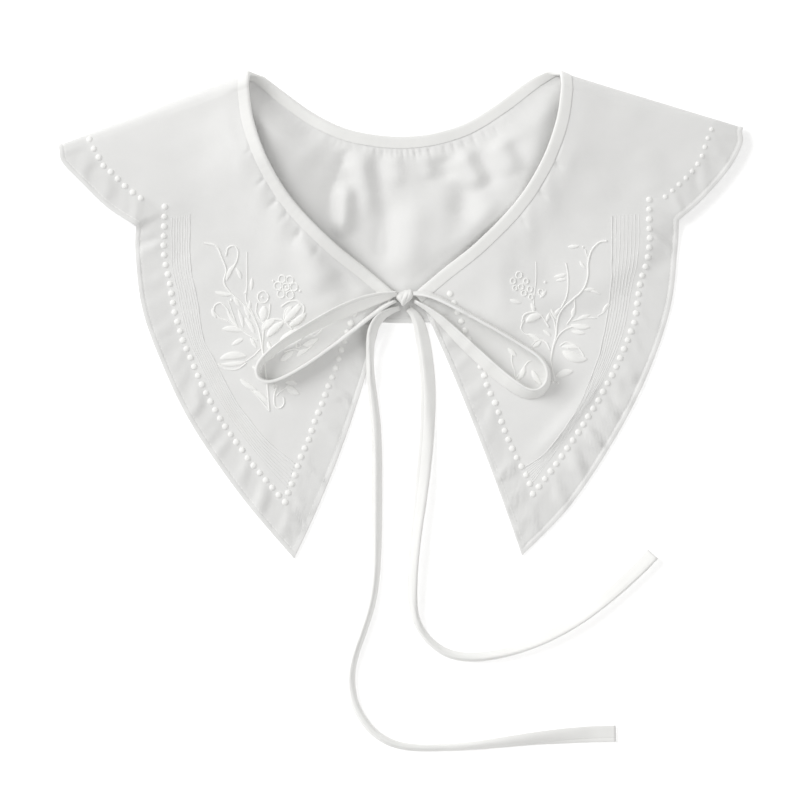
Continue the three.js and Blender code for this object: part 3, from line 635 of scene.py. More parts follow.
def back_edge(at):
    """The back's edge at shares of its neckline: a petal, the hem and the other petal."""
    left = BACK["left"].at(np.clip(at / PETAL_SHARE, 0, 1))
    hem = BACK["hem"].at(np.clip((at - PETAL_SHARE) / (1 - 2 * PETAL_SHARE), 0, 1))
    right = BACK["right"].at(np.clip((at - 1 + PETAL_SHARE) / PETAL_SHARE, 0, 1))
    at = at[:, None]
    return np.where(at < PETAL_SHARE, left, np.where(at > 1 - PETAL_SHARE, right, hem))


def back_plane(points):
    """How far the back is lifted by the fronts that stand on its sides."""
    from_crease, _ = nearest(points, Line(plan(BACK_CREASE)))
    left_part = is_inside(points, plan([*BACK_CREASE, *LEFT_OF_CREASE]))
    plane = LEFT_RISE * np.tanh(from_crease * LEFT_SLOPE / LEFT_RISE) * left_part
    neckline = LAPELS["right"].neckline
    from_right, run = nearest(points, neckline)
    slope = RIGHT_RISE * smooth((run / neckline.length - RIGHT_START) / RIGHT_START)
    return plane + slope * (1 - smooth(from_right / RIGHT_RUN)) * ~left_part


def back_block():
    count = STEPS["back"]
    at = np.arange(1, count) / count
    neck_length = BACK["neck"].length
    from_shoulder = np.minimum(at, 1 - at) * neck_length
    points, distance, depth = flat_ribs(BACK["neck"], at, -1, from_shoulder, back_edge(at))
    p, d = points.reshape(-1, 2), distance.ravel()
    at_each = np.repeat(at, distance.shape[1])
    hem = Line(np.vstack([BACK[part].points for part in ("left", "hem", "right")]), straight=True)
    inset, run = nearest(p, hem)
    height = seat(d) + GATHER_SHARE * gathers(BACK_GATHERS, at_each, neck_length, d, depth.ravel())
    # The folds flatten where a front lies on the back.
    away, _ = nearest(p, THROAT)
    in_throat = is_inside(p, THROAT.points)
    shown = in_throat * smooth((away + 4) / THROAT_RUN)
    swell, size, seed = BACK_SWELL
    uneven = swell * (ripple(p, size, seed) + 1)
    height += shown * (BACK_LIFT + BACK_FOLD_SHARE * ridges(p, BACK_FOLDS) + uneven)
    inside_neck = smooth((away * np.where(in_throat, 1, -1) + THROAT_RUN) / THROAT_RUN)
    height += back_plane(p) * inside_neck * smooth((d - SEAM) / 18)
    for x, y, down, across, depth_mm in PLEATS:
        y += PLEAT_START
        line = Line(plan([(x, y), (x + across / 2, y + down / 2), (x + across, y + down)]))
        away, place = nearest(p, line)
        fade = smooth((d - SEAM - 0.4) / 1.2) * (1 - smooth(place / (down * MM_PER_PIXEL)))
        height -= shown * depth_mm * hump(away, PLEAT_WIDTH) * fade
    waves = np.sin(at_each * neck_length / FINE_LENGTH + 1.9 * np.sin(at_each * 61))
    fine = waves * hump(d - SEAM, FINE_REACH)
    height += smooth((d - SEAM + 0.4) / 1.5) * FINE_HEIGHT * fine * shown
    return block(points, np.maximum(height, LOWEST), inset, run)


blocks = [lapel_block("left"), roll_block("left"), back_block()]
for side_block in (roll_block("right"), lapel_block("right")):
    blocks.append({key: value[::-1] for key, value in side_block.items()})
ring = {key: np.concatenate([b[key] for b in blocks]) for key in blocks[0]}
ring["points"][..., :2] += SHIFT


# The normal at each point, on the side that shows on the lapels
normals = unit(np.cross(np.gradient(ring["points"], axis=0), np.gradient(ring["points"], axis=1)))


# Meshes
def mesh_object(name, vertices, faces, material, uv=None, sharp=None):
    mesh = bpy.data.meshes.new(name)
    mesh.from_pydata(np.asarray(vertices, float) * MM, [], [list(map(int, f)) for f in faces])
    mesh.materials.append(material)
    mesh.polygons.foreach_set("use_smooth", [True] * len(mesh.polygons))
    if sharp:
        mesh.set_sharp_from_angle(angle=math.radians(sharp))
    if uv is not None:
        loops = np.zeros(len(mesh.loops), int)
        mesh.loops.foreach_get("vertex_index", loops)
        layer = mesh.uv_layers.new(name="along_edge")
        layer.data.foreach_set("uv", (np.asarray(uv) * MM)[loops].ravel())
    mesh.update()
    obj = bpy.data.objects.new(name, mesh)
    bpy.context.scene.collection.objects.link(obj)
    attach(obj, "root")
    return obj


def slab_faces(rows, columns):
    """Faces of a closed body between two grids of points, the first one facing out."""
    index = np.arange(rows * columns).reshape(rows, columns)
    under = index + rows * columns
    quads = [
        (index[:-1, :-1], index[1:, :-1], index[1:, 1:], index[:-1, 1:]),
        (under[:-1, :-1], under[:-1, 1:], under[1:, 1:], under[1:, :-1]),
        (index[:-1, 0], under[:-1, 0], under[1:, 0], index[1:, 0]),
        (index[:-1, -1], index[1:, -1], under[1:, -1], under[:-1, -1]),
        (index[0, :-1], index[0, 1:], under[0, 1:], under[0, :-1]),
        (index[-1, :-1], under[-1, :-1], under[-1, 1:], index[-1, 1:]),
    ]
    return np.vstack([np.stack(quad, -1).reshape(-1, 4) for quad in quads])


def tube_faces(rows, columns):
    """Faces of a closed tube of rings, with a fan at each end."""
    index = np.arange(rows * columns).reshape(rows, columns)
    after = np.roll(index, -1, axis=1)
    sides = np.stack([index[:-1], after[:-1], after[1:], index[1:]], -1).reshape(-1, 4)
    return [*sides.tolist(), index[0][::-1].tolist(), index[-1].tolist()]


# Materials
WEAVE_DEPTH = 0.12  # mm
WEAVE_STRAY = 1.2
SLUBS = {"Scale": 900, "Detail": 3, "Roughness": 0.6}
CLOUDS = {"Scale": 28, "Detail": 4, "Roughness": 0.55}
COLOUR_VARIATION = 0.03
BORDER_SHADE = 0.95
BORDER_SCALE = 1.25  # the shade's ramp ends this many borders from the edge


def set_inputs(node, values):
    for key, value in values.items():
        node.inputs[key].default_value = value
    return node


def plain_material(name, values):
    material = bpy.data.materials.new(name)
    material.use_nodes = True
    return material, set_inputs(material.node_tree.nodes["Principled BSDF"], values)


def cloth_material(name, colour, weave, thread, sheen=0.25, roughness=0.85, depth=0.5, border=False):
    """Woven cotton: a weave with threads that far apart in mm, slubs, and a faint variation."""
    material, shader = plain_material(name, {
        "Roughness": roughness, "Sheen Weight": sheen, "Sheen Roughness": 0.5, "Specular IOR Level": 0.2,
    })
    nodes, links = material.node_tree.nodes, material.node_tree.links
    place = nodes.new("ShaderNodeTexCoord")

    def texture(kind, values):
        node = set_inputs(nodes.new(kind), values)
        links.new(place.outputs["Object"], node.inputs["Vector"])
        return node

    def combine(operation, a, b):
        node = nodes.new("ShaderNodeMath")
        node.operation = operation
        for i, value in enumerate((a, b)):
            if isinstance(value, (int, float)):
                node.inputs[i].default_value = value
            else:
                links.new(value, node.inputs[i])
        return node.outputs[0]

    def ramp(factor, stops):
        """A colour ramp of positions in rising order, and their colours."""
        node = nodes.new("ShaderNodeValToRGB")
        elements = node.color_ramp.elements
        while len(elements) < len(stops):
            elements.new(0.5)
        for element, (position, shade) in zip(elements, stops):
            element.position = position
            element.color = (*shade, 1)
        links.new(factor, node.inputs["Fac"])
        return node.outputs["Color"]

    pitch = 2 * math.pi / (20 * thread * MM)
    waves = {"Scale": pitch, "Distortion": WEAVE_STRAY}
    warp, weft = texture("ShaderNodeTexWave", waves), texture("ShaderNodeTexWave", waves)
    weft.bands_direction = "Y"
    slubs, clouds = (texture("ShaderNodeTexNoise", v).outputs["Fac"] for v in (SLUBS, CLOUDS))
    woven = combine("MAXIMUM", warp.outputs["Fac"], weft.outputs["Fac"])
    bump = set_inputs(nodes.new("ShaderNodeBump"), {"Strength": depth, "Distance": WEAVE_DEPTH * MM})
    relief = combine("ADD", combine("MULTIPLY", woven, weave), combine("MULTIPLY", slubs, 0.6))
    links.new(relief, bump.inputs["Height"])
    links.new(bump.outputs["Normal"], shader.inputs["Normal"])
    dark, light = ([min(1, c * (1 + v)) for c in colour] for v in (-COLOUR_VARIATION, COLOUR_VARIATION))
    mixed = combine("ADD", combine("MULTIPLY", clouds, 0.8), combine("MULTIPLY", woven, 0.2))
    shade = ramp(mixed, [(0.3, dark), (0.7, light)])
    if border:
        # The single cloth of the border lets more light through than the hem and the worked middle.
        edge_map = nodes.new("ShaderNodeUVMap")
        edge_map.uv_map = "along_edge"
        parts = nodes.new("ShaderNodeSeparateXYZ")
        links.new(edge_map.outputs["UV"], parts.inputs["Vector"])
        inset = combine("MULTIPLY", parts.outputs["Y"], 1 / (BORDER * MM * BORDER_SCALE))
        full, single = (1, 1, 1), (BORDER_SHADE,) * 3
        blend = set_inputs(nodes.new("ShaderNodeMix"), {"Factor": 1})
        blend.data_type, blend.blend_type = "RGBA", "MULTIPLY"
        links.new(shade, blend.inputs["A"])
        inset_shade = ramp(inset, [(0.14, full), (0.17, single), (0.72, single), (0.86, full)])
        links.new(inset_shade, blend.inputs["B"])
        shade = blend.outputs["Result"]
    links.new(shade, shader.inputs["Base Color"])
    return material


cotton = cloth_material("white_cotton", (0.855, 0.855, 0.846), weave=1, thread=0.5, border=True)
bias = cloth_material(
    "ivory_bias", (0.9, 0.9, 0.885), weave=0.6, thread=0.42, sheen=0.3, roughness=0.75, depth=0.3
)
thread_white = cloth_material(
    "satin_thread", (0.96, 0.96, 0.945), weave=0.3, thread=0.3, sheen=0.3, roughness=0.55, depth=0.2
)

# The cloth
HEM_WIDTH = 3.1
HALF_CLOTH = 0.33
HALF_HEM_MORE = 0.32
GROOVE = 0.2  # depth of the groove at the hem's seam, and of the rounding of the edge


def half_thickness(inset):
    hem = HALF_HEM_MORE * smooth((HEM_WIDTH - 0.1 - inset) / 0.7)
    groove = GROOVE * hump(inset - HEM_WIDTH, 0.5)
    return HALF_CLOTH + hem - groove - GROOVE * smooth(1 - inset / 0.8)


half = half_thickness(ring["inset"])[..., None]
upper = ring["points"] + normals * half
lower = ring["points"] - normals * half
rows, columns = ring["inset"].shape
edge_map = np.stack([ring["run"], ring["inset"]], -1).reshape(-1, 2)
cloth = mesh_object(
    "collar_cloth_detail",
    np.vstack([upper.reshape(-1, 3), lower.reshape(-1, 3)]),
    slab_faces(rows, columns),
    cotton,
    uv=np.vstack([edge_map, edge_map]),
    sharp=70,
)
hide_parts("collar_cloth")

# The binding
# Across the section: share of the binding's width, and how far it stands off the cloth
BINDING_SHAPE = [(1, 0), (0.985, 0.07), (0.93, 0.14), (0.8, 0.26), (0.55, 0.5), (0.3, 0.72), (0.1, 0.8)]
# Round the neck edge: share of the width, and share of the height from the top to the bottom
BINDING_NOSE = [(0.035, 0.58), (0, 0), (0.035, -0.58)]
BINDING_REST = CLOTH / 2 + 0.1  # from the cloth's middle to the inside of the binding
NOSE_GAP = 0.5  # between the cloth's edge and the inside of the nose
# The puckers of its edge: height, length, how far they wander and over what length
BINDING_PUCKERS = [(0.035, 0.8, 1.7, 6.1), (0.05, 4.3, 1, 9)]


def binding_sections():
    """The binding's inside and outside, as grids of points along the neckline."""
    start, lip = ring["points"][:, 0], ring["points"][:, LIP_COLUMNS - 1]
    normal, lip_normal = normals[:, 0], normals[:, LIP_COLUMNS - 1]
    outward = unit(lip - start)
    run = steps(start)
    pull = sum(
        height * np.sin(run / length + stray * np.sin(run / wander))
        for height, length, stray, wander in BINDING_PUCKERS
    )

    def place(distance, by):
        share = (distance - CLOTH_INSET) / (SEAM - CLOTH_INSET)
        onward = min(max(share, 0), 1)
        under = start + (lip - start) * onward if share > 0 else start + outward * (distance - CLOTH_INSET)
        turn = unit(normal * (1 - onward) + lip_normal * onward)
        return under + turn * np.reshape(by, (-1, 1))

    inside, outside = [], []

    def wrap(share, stand, way, strength):
        """A point on each side of the binding, above the cloth (1) or below it (-1)."""
        distance = share * BINDING_WIDTH
        outside.append(place(distance, way * (BINDING_REST + stand) + pull * strength))
        inside.append(place(max(distance, CLOTH_INSET - 0.4), way * BINDING_REST))

    for share, stand in BINDING_SHAPE:
        wrap(share, stand, 1, min(1, 3 * (1 - share) + 0.3))
    for share, stand in BINDING_NOSE:
        outside.append(place(share * BINDING_WIDTH, (BINDING_REST + 1) * stand))
        inside.append(place(CLOTH_INSET - NOSE_GAP, BINDING_REST * stand * 0.5))
    for share, stand in BINDING_SHAPE[::-1]:
        wrap(share, stand, -1, 0.5)
    return np.stack(inside, 1), np.stack(outside, 1)


inside, outside = binding_sections()
binding = mesh_object(
    "neck_binding_detail",
    np.vstack([inside.reshape(-1, 3), outside.reshape(-1, 3)]),
    slab_faces(*inside.shape[:2]),
    bias,
    sharp=75,
)
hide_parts("neck_binding")


# Laying things on the cloth
def tree_of(*objs):
    vertices, faces = [], []
    for obj in objs:
        base = len(vertices)
        vertices += [v.co / MM for v in obj.data.vertices]
        faces += [[base + i for i in p.vertices] for p in obj.data.polygons]
    return BVHTree.FromPolygons(vertices, faces)


cloth_tree = tree_of(cloth)


def top_of(tree, p):
    """Height in mm of the uppermost surface at a point of the row's plan, and its normal."""
    hit, normal, _, _ = tree.ray_cast(Vector((p[0], p[1], 100)), Vector((0, 0, -1)))
    return (hit.z, np.array(normal)) if hit else (0.0, np.array([0, 0, 1.0]))


KNOT = np.array([0, -FRONT_NECK_DROP]) + SHIFT

# The upper half of the ribbon's section: its two folded edges are stitched together along one side.
RIBBON_SECTION = [
    (-1, 0.25), (-0.985, 0.6), (-0.93, 0.9), (-0.75, 1), (-0.35, 0.86), (0.1, 0.9), (0.38, 0.96),
    (0.47, 0.8), (0.52, 0.5), (0.57, 0.78), (0.66, 0.92), (0.84, 0.95), (0.95, 0.82), (0.99, 0.55),
    (1, 0.25),
]
RIBBON_FOLD = 0.08  # the share of its width over which a loose end turns at its fold
HALF_BULGE = RIBBON_THICKNESS / 2
EDGE_SWELL = 0.9  # how much fuller it is where it stands on edge
ACROSS_STEPS = 161
FEELERS = (-1, -0.5, 0, 0.5, 1)  # where across the ribbon the height below it is felt
FEELER_RUN = 4  # and how far ahead and back
BLUR = np.hanning(9) / np.hanning(9).sum()


def soften(values):
    return np.convolve(np.pad(values, len(BLUR) // 2, mode="edge"), BLUR, mode="valid")


def spread(grid):
    """Half of the way from the least to the most in each row, and the middle between them."""
    most, least = grid.max(axis=1), grid.min(axis=1)
    return (most - least) / 2, (most + least) / 2


def ribbon(name, table, scale, step):
    """A flat tube of bias ribbon, laid along a table of points. A loop has no fold."""
    rows = np.array(table, float)
    is_loop = rows.shape[1] == 4
    if is_loop:
        rows = np.column_stack([rows[:, :3], -rows[:, 2], np.zeros(len(rows)), rows[:, 3]])
    route = Line(KNOT + rows[:, :2] * scale)
    knots = steps(rows[:, :2])
    share = np.linspace(0, 1, round(route.length / step) + 1)
    place, along = route.at(share), route.run(share)
    side = np.stack([along[:, 1], -along[:, 0]], -1)
    rise, fall, fold, width = (
        soften(np.interp(share * knots[-1], knots, column)) for column in rows[:, 2:].T
    )
    half = width[:, None] * RIBBON_WIDTH / 2
    fine = np.linspace(-1, 1, ACROSS_STEPS)
    turned = smooth((fine - fold[:, None]) / (2 * RIBBON_FOLD) + 0.5)
    slope = np.radians(rise[:, None] * (1 - turned) - fall[:, None] * turned)
    flat = np.cumsum(np.cos(slope), axis=1) * half * (fine[1] - fine[0])
    tall = np.cumsum(np.sin(slope), axis=1) * half * (fine[1] - fine[0])
    flat -= spread(flat)[1][:, None]
    reach = spread(flat)[0] + 0.6
    under = [
        max(top_of(laid_tree, p + s * r * k)[0] for k in FEELERS) for p, s, r in zip(place, side, reach)
    ]
    run = max(1, round(FEELER_RUN / step))
    highest = [max(under[max(0, i - run): i + run + 1]) for i in range(len(under))]
    rest = soften(np.array(highest)) + SEAM_GAP
    shape = np.array(RIBBON_SECTION)
    u = np.concatenate([shape[:, 0], shape[::-1, 0]])
    v = np.concatenate([-shape[:, 1], shape[::-1, 1]])
    slope, flat, tall = (
        np.stack([np.interp(u, fine, line) for line in grid]) for grid in (slope, flat, tall)
    )
    on_edge = smooth((np.abs(np.sin(np.radians(rise))) - 0.88) / 0.11) if is_loop else 0
    # Its thickness wavers a little along it.
    wave = 1 + 0.06 * np.sin(share * route.length / 2.3)
    thick = v * (HALF_BULGE * (1 + EDGE_SWELL * on_edge) * wave)[:, None]
    out = flat - thick * np.sin(slope)
    up = tall + thick * np.cos(slope)
    up += (rest - up.min(axis=1))[:, None]
    rings = np.dstack([place[:, None] + side[:, None] * out[..., None], up])
    obj = mesh_object(f"{name}_detail", rings.reshape(-1, 3), tube_faces(*rings.shape[:2]), bias)
    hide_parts(name)
    return obj, np.column_stack([place, spread(up)[1]]) * MM


# Needlework: many small bodies of thread, gathered into one mesh for each piece
# Its tables are in pixels.
DOT_PITCH = 5.8
DOT_RADIUS = 1.95
DOT_HEIGHT = 0.95
SMALL_DOTS = 0.78
DOT_ROWS = {
    "left_outer": [
        (165, 207), (164, 225), (164, 252), (166, 267), (170, 287), (175, 315), (178, 324), (183, 342),
        (191, 359), (198, 376), (206, 394), (215, 410), (225, 426), (235, 441), (246, 456), (259, 472),
        (271, 487), (285, 502),
    ],
    "left_inner": [
        (288, 493), (295, 474), (301, 457), (309, 439), (314, 422), (322, 404), (328, 387), (335, 369),
        (341, 351), (349, 328), (357, 305),
    ],
    "left_petal": [
        (90, 140), (94, 149), (98, 155), (102, 164), (110, 171), (116, 177), (124, 185), (131, 191),
        (141, 198),
    ],
    "right_outer": [
        (649, 200), (649, 225), (650, 240), (647, 262), (641, 280), (638, 302), (635, 320), (630, 334),
        (624, 350), (615, 370), (606, 386), (600, 398), (588, 417), (580, 430), (569, 446), (558, 462),
        (549, 474), (533, 494),
    ],
    "right_inner": [
        (530, 484), (526, 475), (517, 458), (509, 441), (502, 423), (496, 405), (488, 388), (483, 372),
        (472, 348), (463, 325), (450, 294),
    ],
    "right_petal": [(711, 130), (706, 142), (700, 160), (690, 174), (677, 186), (665, 197)],
}
TUCKS = {
    "left": (
        [
            (172, 218), (172, 262), (177, 290), (183, 320), (191, 345), (199, 362), (213, 390),
            (230, 418), (250, 446), (270, 470), (287, 488),
        ],
        [
            (190, 214), (190, 262), (197, 300), (203, 338), (214, 360), (224, 380), (236, 402),
            (248, 418), (264, 438), (280, 452), (295, 464),
        ],
    ),
    "right": (
        [
            (639, 214), (639, 240), (637, 262), (632, 285), (628, 310), (623, 332), (616, 352),
            (606, 374), (591, 400), (572, 428), (552, 456), (533, 482),
        ],
        [
            (612, 216), (612, 250), (611, 285), (608, 312), (604, 334), (599, 356), (591, 378),
            (580, 404), (562, 432), (544, 454), (524, 468),
        ],
    ),
}
TUCK_COUNT = 8
TUCK_HEIGHT = 0.17
LAST_TUCK_HEIGHT = 0.4
STITCH_LENGTH = 1.9
STITCH_GAP = 0.8
STITCH_WIDTH = 0.34
STITCH_HEIGHT = 0.2
STITCH_POINTS = 6
# Stems: the thread's width in mm, then points
STEMS = {
    "left": [
        (1.1, (204, 243), (216, 246), (221, 256), (226, 270), (224, 282), (230, 292), (240, 301),
         (250, 312), (257, 325), (261, 342), (264, 362), (267, 385), (269, 411)),
        (1, (226, 256), (228, 248), (234, 246), (238, 251), (237, 260), (233, 268), (229, 274)),
        (0.8, (247, 252), (247, 268), (247, 284), (246, 300), (252, 312), (257, 325)),
        (0.9, (213, 311), (215, 305), (221, 303), (227, 309), (231, 318), (237, 327)),
        (0.8, (214, 312), (220, 318), (228, 321), (237, 327), (247, 334), (257, 340)),
        (0.7, (228, 300), (232, 312), (237, 326)),
        (0.9, (257, 303), (256, 312), (260, 320), (265, 323), (269, 314), (270, 304)),
        (0.9, (264, 323), (263, 336), (262, 350)),
        (1.1, (262, 327), (267, 321), (275, 319), (284, 321), (292, 329)),
        (1, (281, 307), (288, 302), (297, 301), (304, 307), (301, 317), (291, 321)),
        (0.9, (284, 319), (285, 311), (290, 306)),
        (0.8, (269, 411), (262, 402), (254, 393), (244, 384)),
        (1, (276, 388), (274, 397), (275, 406), (280, 408), (284, 403), (283, 397)),
        (0.8, (276, 396), (281, 391), (287, 387)),
        (0.9, (284, 352), (293, 349), (303, 351), (312, 346)),
        (0.9, (300, 340), (306, 334), (314, 336), (322, 330)),
        (0.9, (218, 364), (226, 369), (237, 369), (246, 363)),
        (0.8, (246, 361), (253, 356), (260, 349)),
    ],
    "right": [
        (1.1, (607, 241), (600, 242), (594, 247), (590, 254), (588, 264), (588, 275), (585, 286),
         (580, 293), (572, 300), (564, 307), (559, 315), (557, 325), (556, 336), (553, 348),
         (551, 360)),
        (0.8, (585, 249), (587, 256), (590, 258)),
        (0.9, (566, 263), (568, 275), (568, 288), (566, 298), (561, 308)),
        (0.6, (536, 262), (536, 280), (534, 298), (534, 309)),
        (0.9, (550, 313), (554, 320), (556, 330)),
        (1, (553, 348), (557, 338), (563, 331), (571, 327), (580, 326), (588, 327)),
        (0.8, (574, 298), (575, 308), (572, 317), (567, 324)),
        (0.8, (573, 321), (580, 319), (588, 318), (596, 318)),
        (0.6, (598, 316), (604, 312), (610, 304)),
        (1, (522, 322), (524, 315), (531, 312), (538, 313), (544, 319), (549, 327)),
        (0.8, (524, 320), (521, 328), (526, 334), (535, 336)),
        (0.9, (532, 345), (538, 340), (546, 342), (550, 350)),
        (0.9, (516, 378), (522, 370), (528, 362), (531, 361)),
        (0.9, (512, 352), (512, 362), (515, 372), (516, 379), (524, 386), (532, 390)),
        (0.9, (551, 360), (553, 371), (555, 381)),
        (0.8, (560, 346), (566, 342), (575, 345), (582, 352), (585, 360)),
    ],
}
# Satin leaves: base and tip, then width and how far they bow to their left, in mm
LEAVES = {
    "left": [
        (226, 281, 234, 265, 3, 0.5), (215, 292, 231, 295, 2.8, -0.3), (252, 278, 251, 290, 2.2, 0),
        (242, 331, 222, 329, 3.8, -0.6), (238, 327, 227, 311, 2.4, 0.4),
        (243, 327, 238, 309, 2.4, -0.3), (246, 356, 220, 359, 5.2, -1.2), (245, 362, 221, 364, 3, 0.6),
        (256, 390, 240, 379, 3.6, 0.6), (268, 403, 253, 390, 3.2, -0.5),
        (286, 385, 299, 394, 4.6, -0.6), (285, 383, 297, 384, 3, 0.5), (250, 300, 248, 312, 1.8, 0.2),
        (254, 333, 245, 318, 3, -0.4), (232, 345, 243, 339, 2.8, 0.3), (285, 318, 292, 306, 3.2, 0.4),
        (299, 304, 293, 318, 3.4, -0.5), (263, 320, 264, 306, 5.4, 0), (216, 318, 212, 308, 2.4, 0.4),
        (303, 345, 318, 338, 4, -0.6), (280, 360, 293, 351, 4.4, -0.6), (297, 356, 308, 349, 3.2, 0.4),
        (272, 352, 268, 341, 2.6, 0.4), (256, 348, 250, 338, 2.2, -0.2),
        (262, 372, 252, 366, 2.8, 0.3), (236, 268, 241, 279, 2.4, 0.4), (268, 360, 276, 352, 2.8, 0.3),
        (284, 323, 301, 306, 5, 0.6), (289, 326, 306, 313, 4.4, -0.6), (267, 337, 283, 322, 4.8, 0.6),
        (262, 330, 275, 319, 4, 0.4), (280, 340, 297, 329, 4.4, -0.5), (240, 306, 234, 297, 2.4, 0.3),
        (249, 318, 244, 306, 2.6, -0.3),
    ],
    "right": [
        (568, 247, 579, 246, 2.4, 0), (566, 274, 554, 277, 2.6, 0.3), (566, 279, 556, 281, 2, -0.2),
        (584, 290, 594, 289, 2.2, 0), (590, 290, 600, 294, 1.8, 0.2), (510, 300, 521, 303, 2.6, 0),
        (571, 325, 590, 327, 3.6, -0.4), (577, 320, 590, 315, 2.4, 0.3),
        (572, 331, 585, 333, 2.4, -0.3), (563, 351, 587, 359, 6.2, -1.4), (562, 347, 580, 348, 3, 0.5),
        (556, 376, 573, 371, 4.4, 0.3), (549, 313, 546, 322, 2.2, 0.3), (560, 308, 553, 316, 2.4, 0.4),
        (531, 303, 534, 312, 2.8, 0.4), (526, 322, 542, 315, 5, 0.7), (528, 334, 541, 341, 2.8, 0.4),
        (541, 341, 533, 347, 2.8, 0.2), (575, 307, 573, 317, 2.6, -0.3), (585, 268, 580, 261, 2, 0.2),
        (558, 320, 551, 309, 2, 0.3), (546, 290, 540, 298, 2.4, 0.3), (525, 366, 518, 380, 3.4, 0.5),
        (532, 370, 541, 384, 3.6, -0.4), (508, 348, 516, 356, 3, 0.2), (603, 312, 609, 303, 2, 0.2),
        (543, 330, 551, 336, 2, 0.3),
    ],
}
# Worked rings and knots: centre, then radius in mm
RINGS = {
    "left": [
        (263, 297, 3.2), (286, 287, 2), (294, 287, 2.2), (290, 280, 2.1), (282, 279, 2),
        (278, 286, 2.2), (281, 294, 2.1), (290, 295, 2.2), (275, 387, 1.3), (298, 345, 1.4),
        (245, 293, 1), (231, 300, 1), (262, 297, 1), (286, 287, 1), (300, 291, 1), (273, 281, 1),
    ],
    "right": [
        (521, 287, 1.5), (519, 275, 1.8), (513, 281, 1.5), (526, 281, 1.4), (530, 289, 1.5),
        (524, 293, 1.5), (515, 288, 1.3), (531, 297, 1.3), (541, 292, 1.6), (568, 348, 1.1),
        (553, 382, 1.1), (558, 383, 1.1), (545, 282, 1.1), (606, 241, 1), (583, 247, 0.9),
    ],
}
# The thread
SUNK = 0.12  # how far the thread goes into the cloth
RING_GAP = 0.985  # the share of a turn that a worked ring goes round
KNOT_LIMIT = 1.3  # a ring under this radius is a knot of thread
DOT_DOME = (1, 0.97, 0.86, 0.66, 0.42, 0.18)  # the radius of a dot's rings, from its foot up
UP = np.array([0, 0, 1.0])
STEEP = 0.3  # where the cloth is steeper, thread is laid as on a level
needlework = []


class Needlework:
    """Small closed bodies of thread on the cloth, that become one mesh."""

    def __init__(self):
        self.vertices, self.faces, self.count = [], [], 0

    def add(self, vertices, faces):
        self.vertices.append(vertices)
        self.faces += [[self.count + i for i in face] for face in faces]
        self.count += len(vertices)

    def strip(self, path, half_width, height, columns=7, thread=None):
        """A domed strip along a path of the row's plan, with threads across it."""
        run = unit(np.gradient(path, axis=0))
        side = np.stack([run[:, 1], -run[:, 0]], -1)
        tops = [top_of(cloth_tree, p) for p in path]
        base = np.column_stack([path, [z for z, _ in tops]])
        up = np.array([n if n[2] > STEEP else UP for _, n in tops])
        level = np.column_stack([side, np.zeros(len(side))])
        across = unit(level - up * (side * up[:, :2]).sum(1)[:, None])
        lay = 1 + 0.09 * np.sin(2 * math.pi * steps(path) / thread) if thread else np.ones(len(path))
        u = np.linspace(-1, 1, columns)
        dome = np.sqrt(np.maximum(1 - u**2, 0)) ** 0.8
        wide = np.broadcast_to(half_width, len(path)) * (1 + 0.25 * (lay - 1))
        tall = np.broadcast_to(height, len(path)) * lay
        flat = base[:, None] + across[:, None] * (u[None, :, None] * wide[:, None, None])
        top = flat + up[:, None] * (dome[None, :] * tall[:, None] - 0.02)[..., None]
        bottom = flat - up[:, None] * SUNK
        faces = slab_faces(len(path), columns)[:, ::-1].tolist()
        self.add(np.vstack([top.reshape(-1, 3), bottom.reshape(-1, 3)]), faces)

    def leaf(self, base, tip, width, bow):
        base, tip = plan(base) + SHIFT, plan(tip) + SHIFT
        run = tip - base
        size = np.linalg.norm(run)
        aside = np.array([-run[1], run[0]]) / size
        t = np.linspace(0, 1, max(10, int(size / 0.14)))
        path = base + run * t[:, None] + aside * (bow * np.sin(math.pi * t))[:, None]
        swell = np.sin(math.pi * np.clip(t * 0.96 + 0.02, 0, 1)) ** 0.65
        self.strip(path, width / 2 * swell, (0.35 + 0.13 * width) * swell**0.6, columns=9, thread=0.5)

    def stem(self, pixels, width):
        line = Line(plan(pixels) + SHIFT)
        path = line.at(np.linspace(0, 1, max(8, int(line.length / 0.22))))
        self.strip(path, width / 2, width * 0.62, thread=0.9)

    def ring(self, centre, radius):
        centre = plan(centre) + SHIFT
        if radius < KNOT_LIMIT:
            self.dot(centre, radius * 0.8, radius * 0.75, threads=10)
            return
        angle = np.linspace(0, 2 * math.pi * RING_GAP, int(radius * 26))
        path = centre + radius * np.stack([np.cos(angle), np.sin(angle) * 1.08], -1)
        self.strip(path, 0.42, 0.62, thread=0.6)

    def dot(self, centre, radius, height, threads=22, turn=0.0):
        """A padded dot of satin stitch: a dome grooved by its threads."""
        z, up = top_of(cloth_tree, centre)
        up = up if up[2] > STEEP else UP
        first = unit(np.cross(up, [math.sin(turn), math.cos(turn), 0]))
        second = np.cross(up, first)
        angle = np.linspace(0, 2 * math.pi, 2 * threads, endpoint=False)
        circle = np.cos(angle)[:, None] * first + np.sin(angle)[:, None] * second
        rings = []
        for share in DOT_DOME:
            tall = -0.15 if share == 1 else height * (1 - share**2.6) ** 0.75
            groove = 1 - 0.05 * (np.arange(2 * threads) % 2) * min(1, 2 * share)
            rings.append(np.array([*centre, z]) + circle * (radius * share * groove)[:, None] + up * tall)
        rings = np.array(rings)
        self.add(rings.reshape(-1, 3), tube_faces(*rings.shape[:2]))

    def piece(self, name, material):
        obj = mesh_object(name, np.vstack(self.vertices), self.faces, material)
        needlework.append(obj)


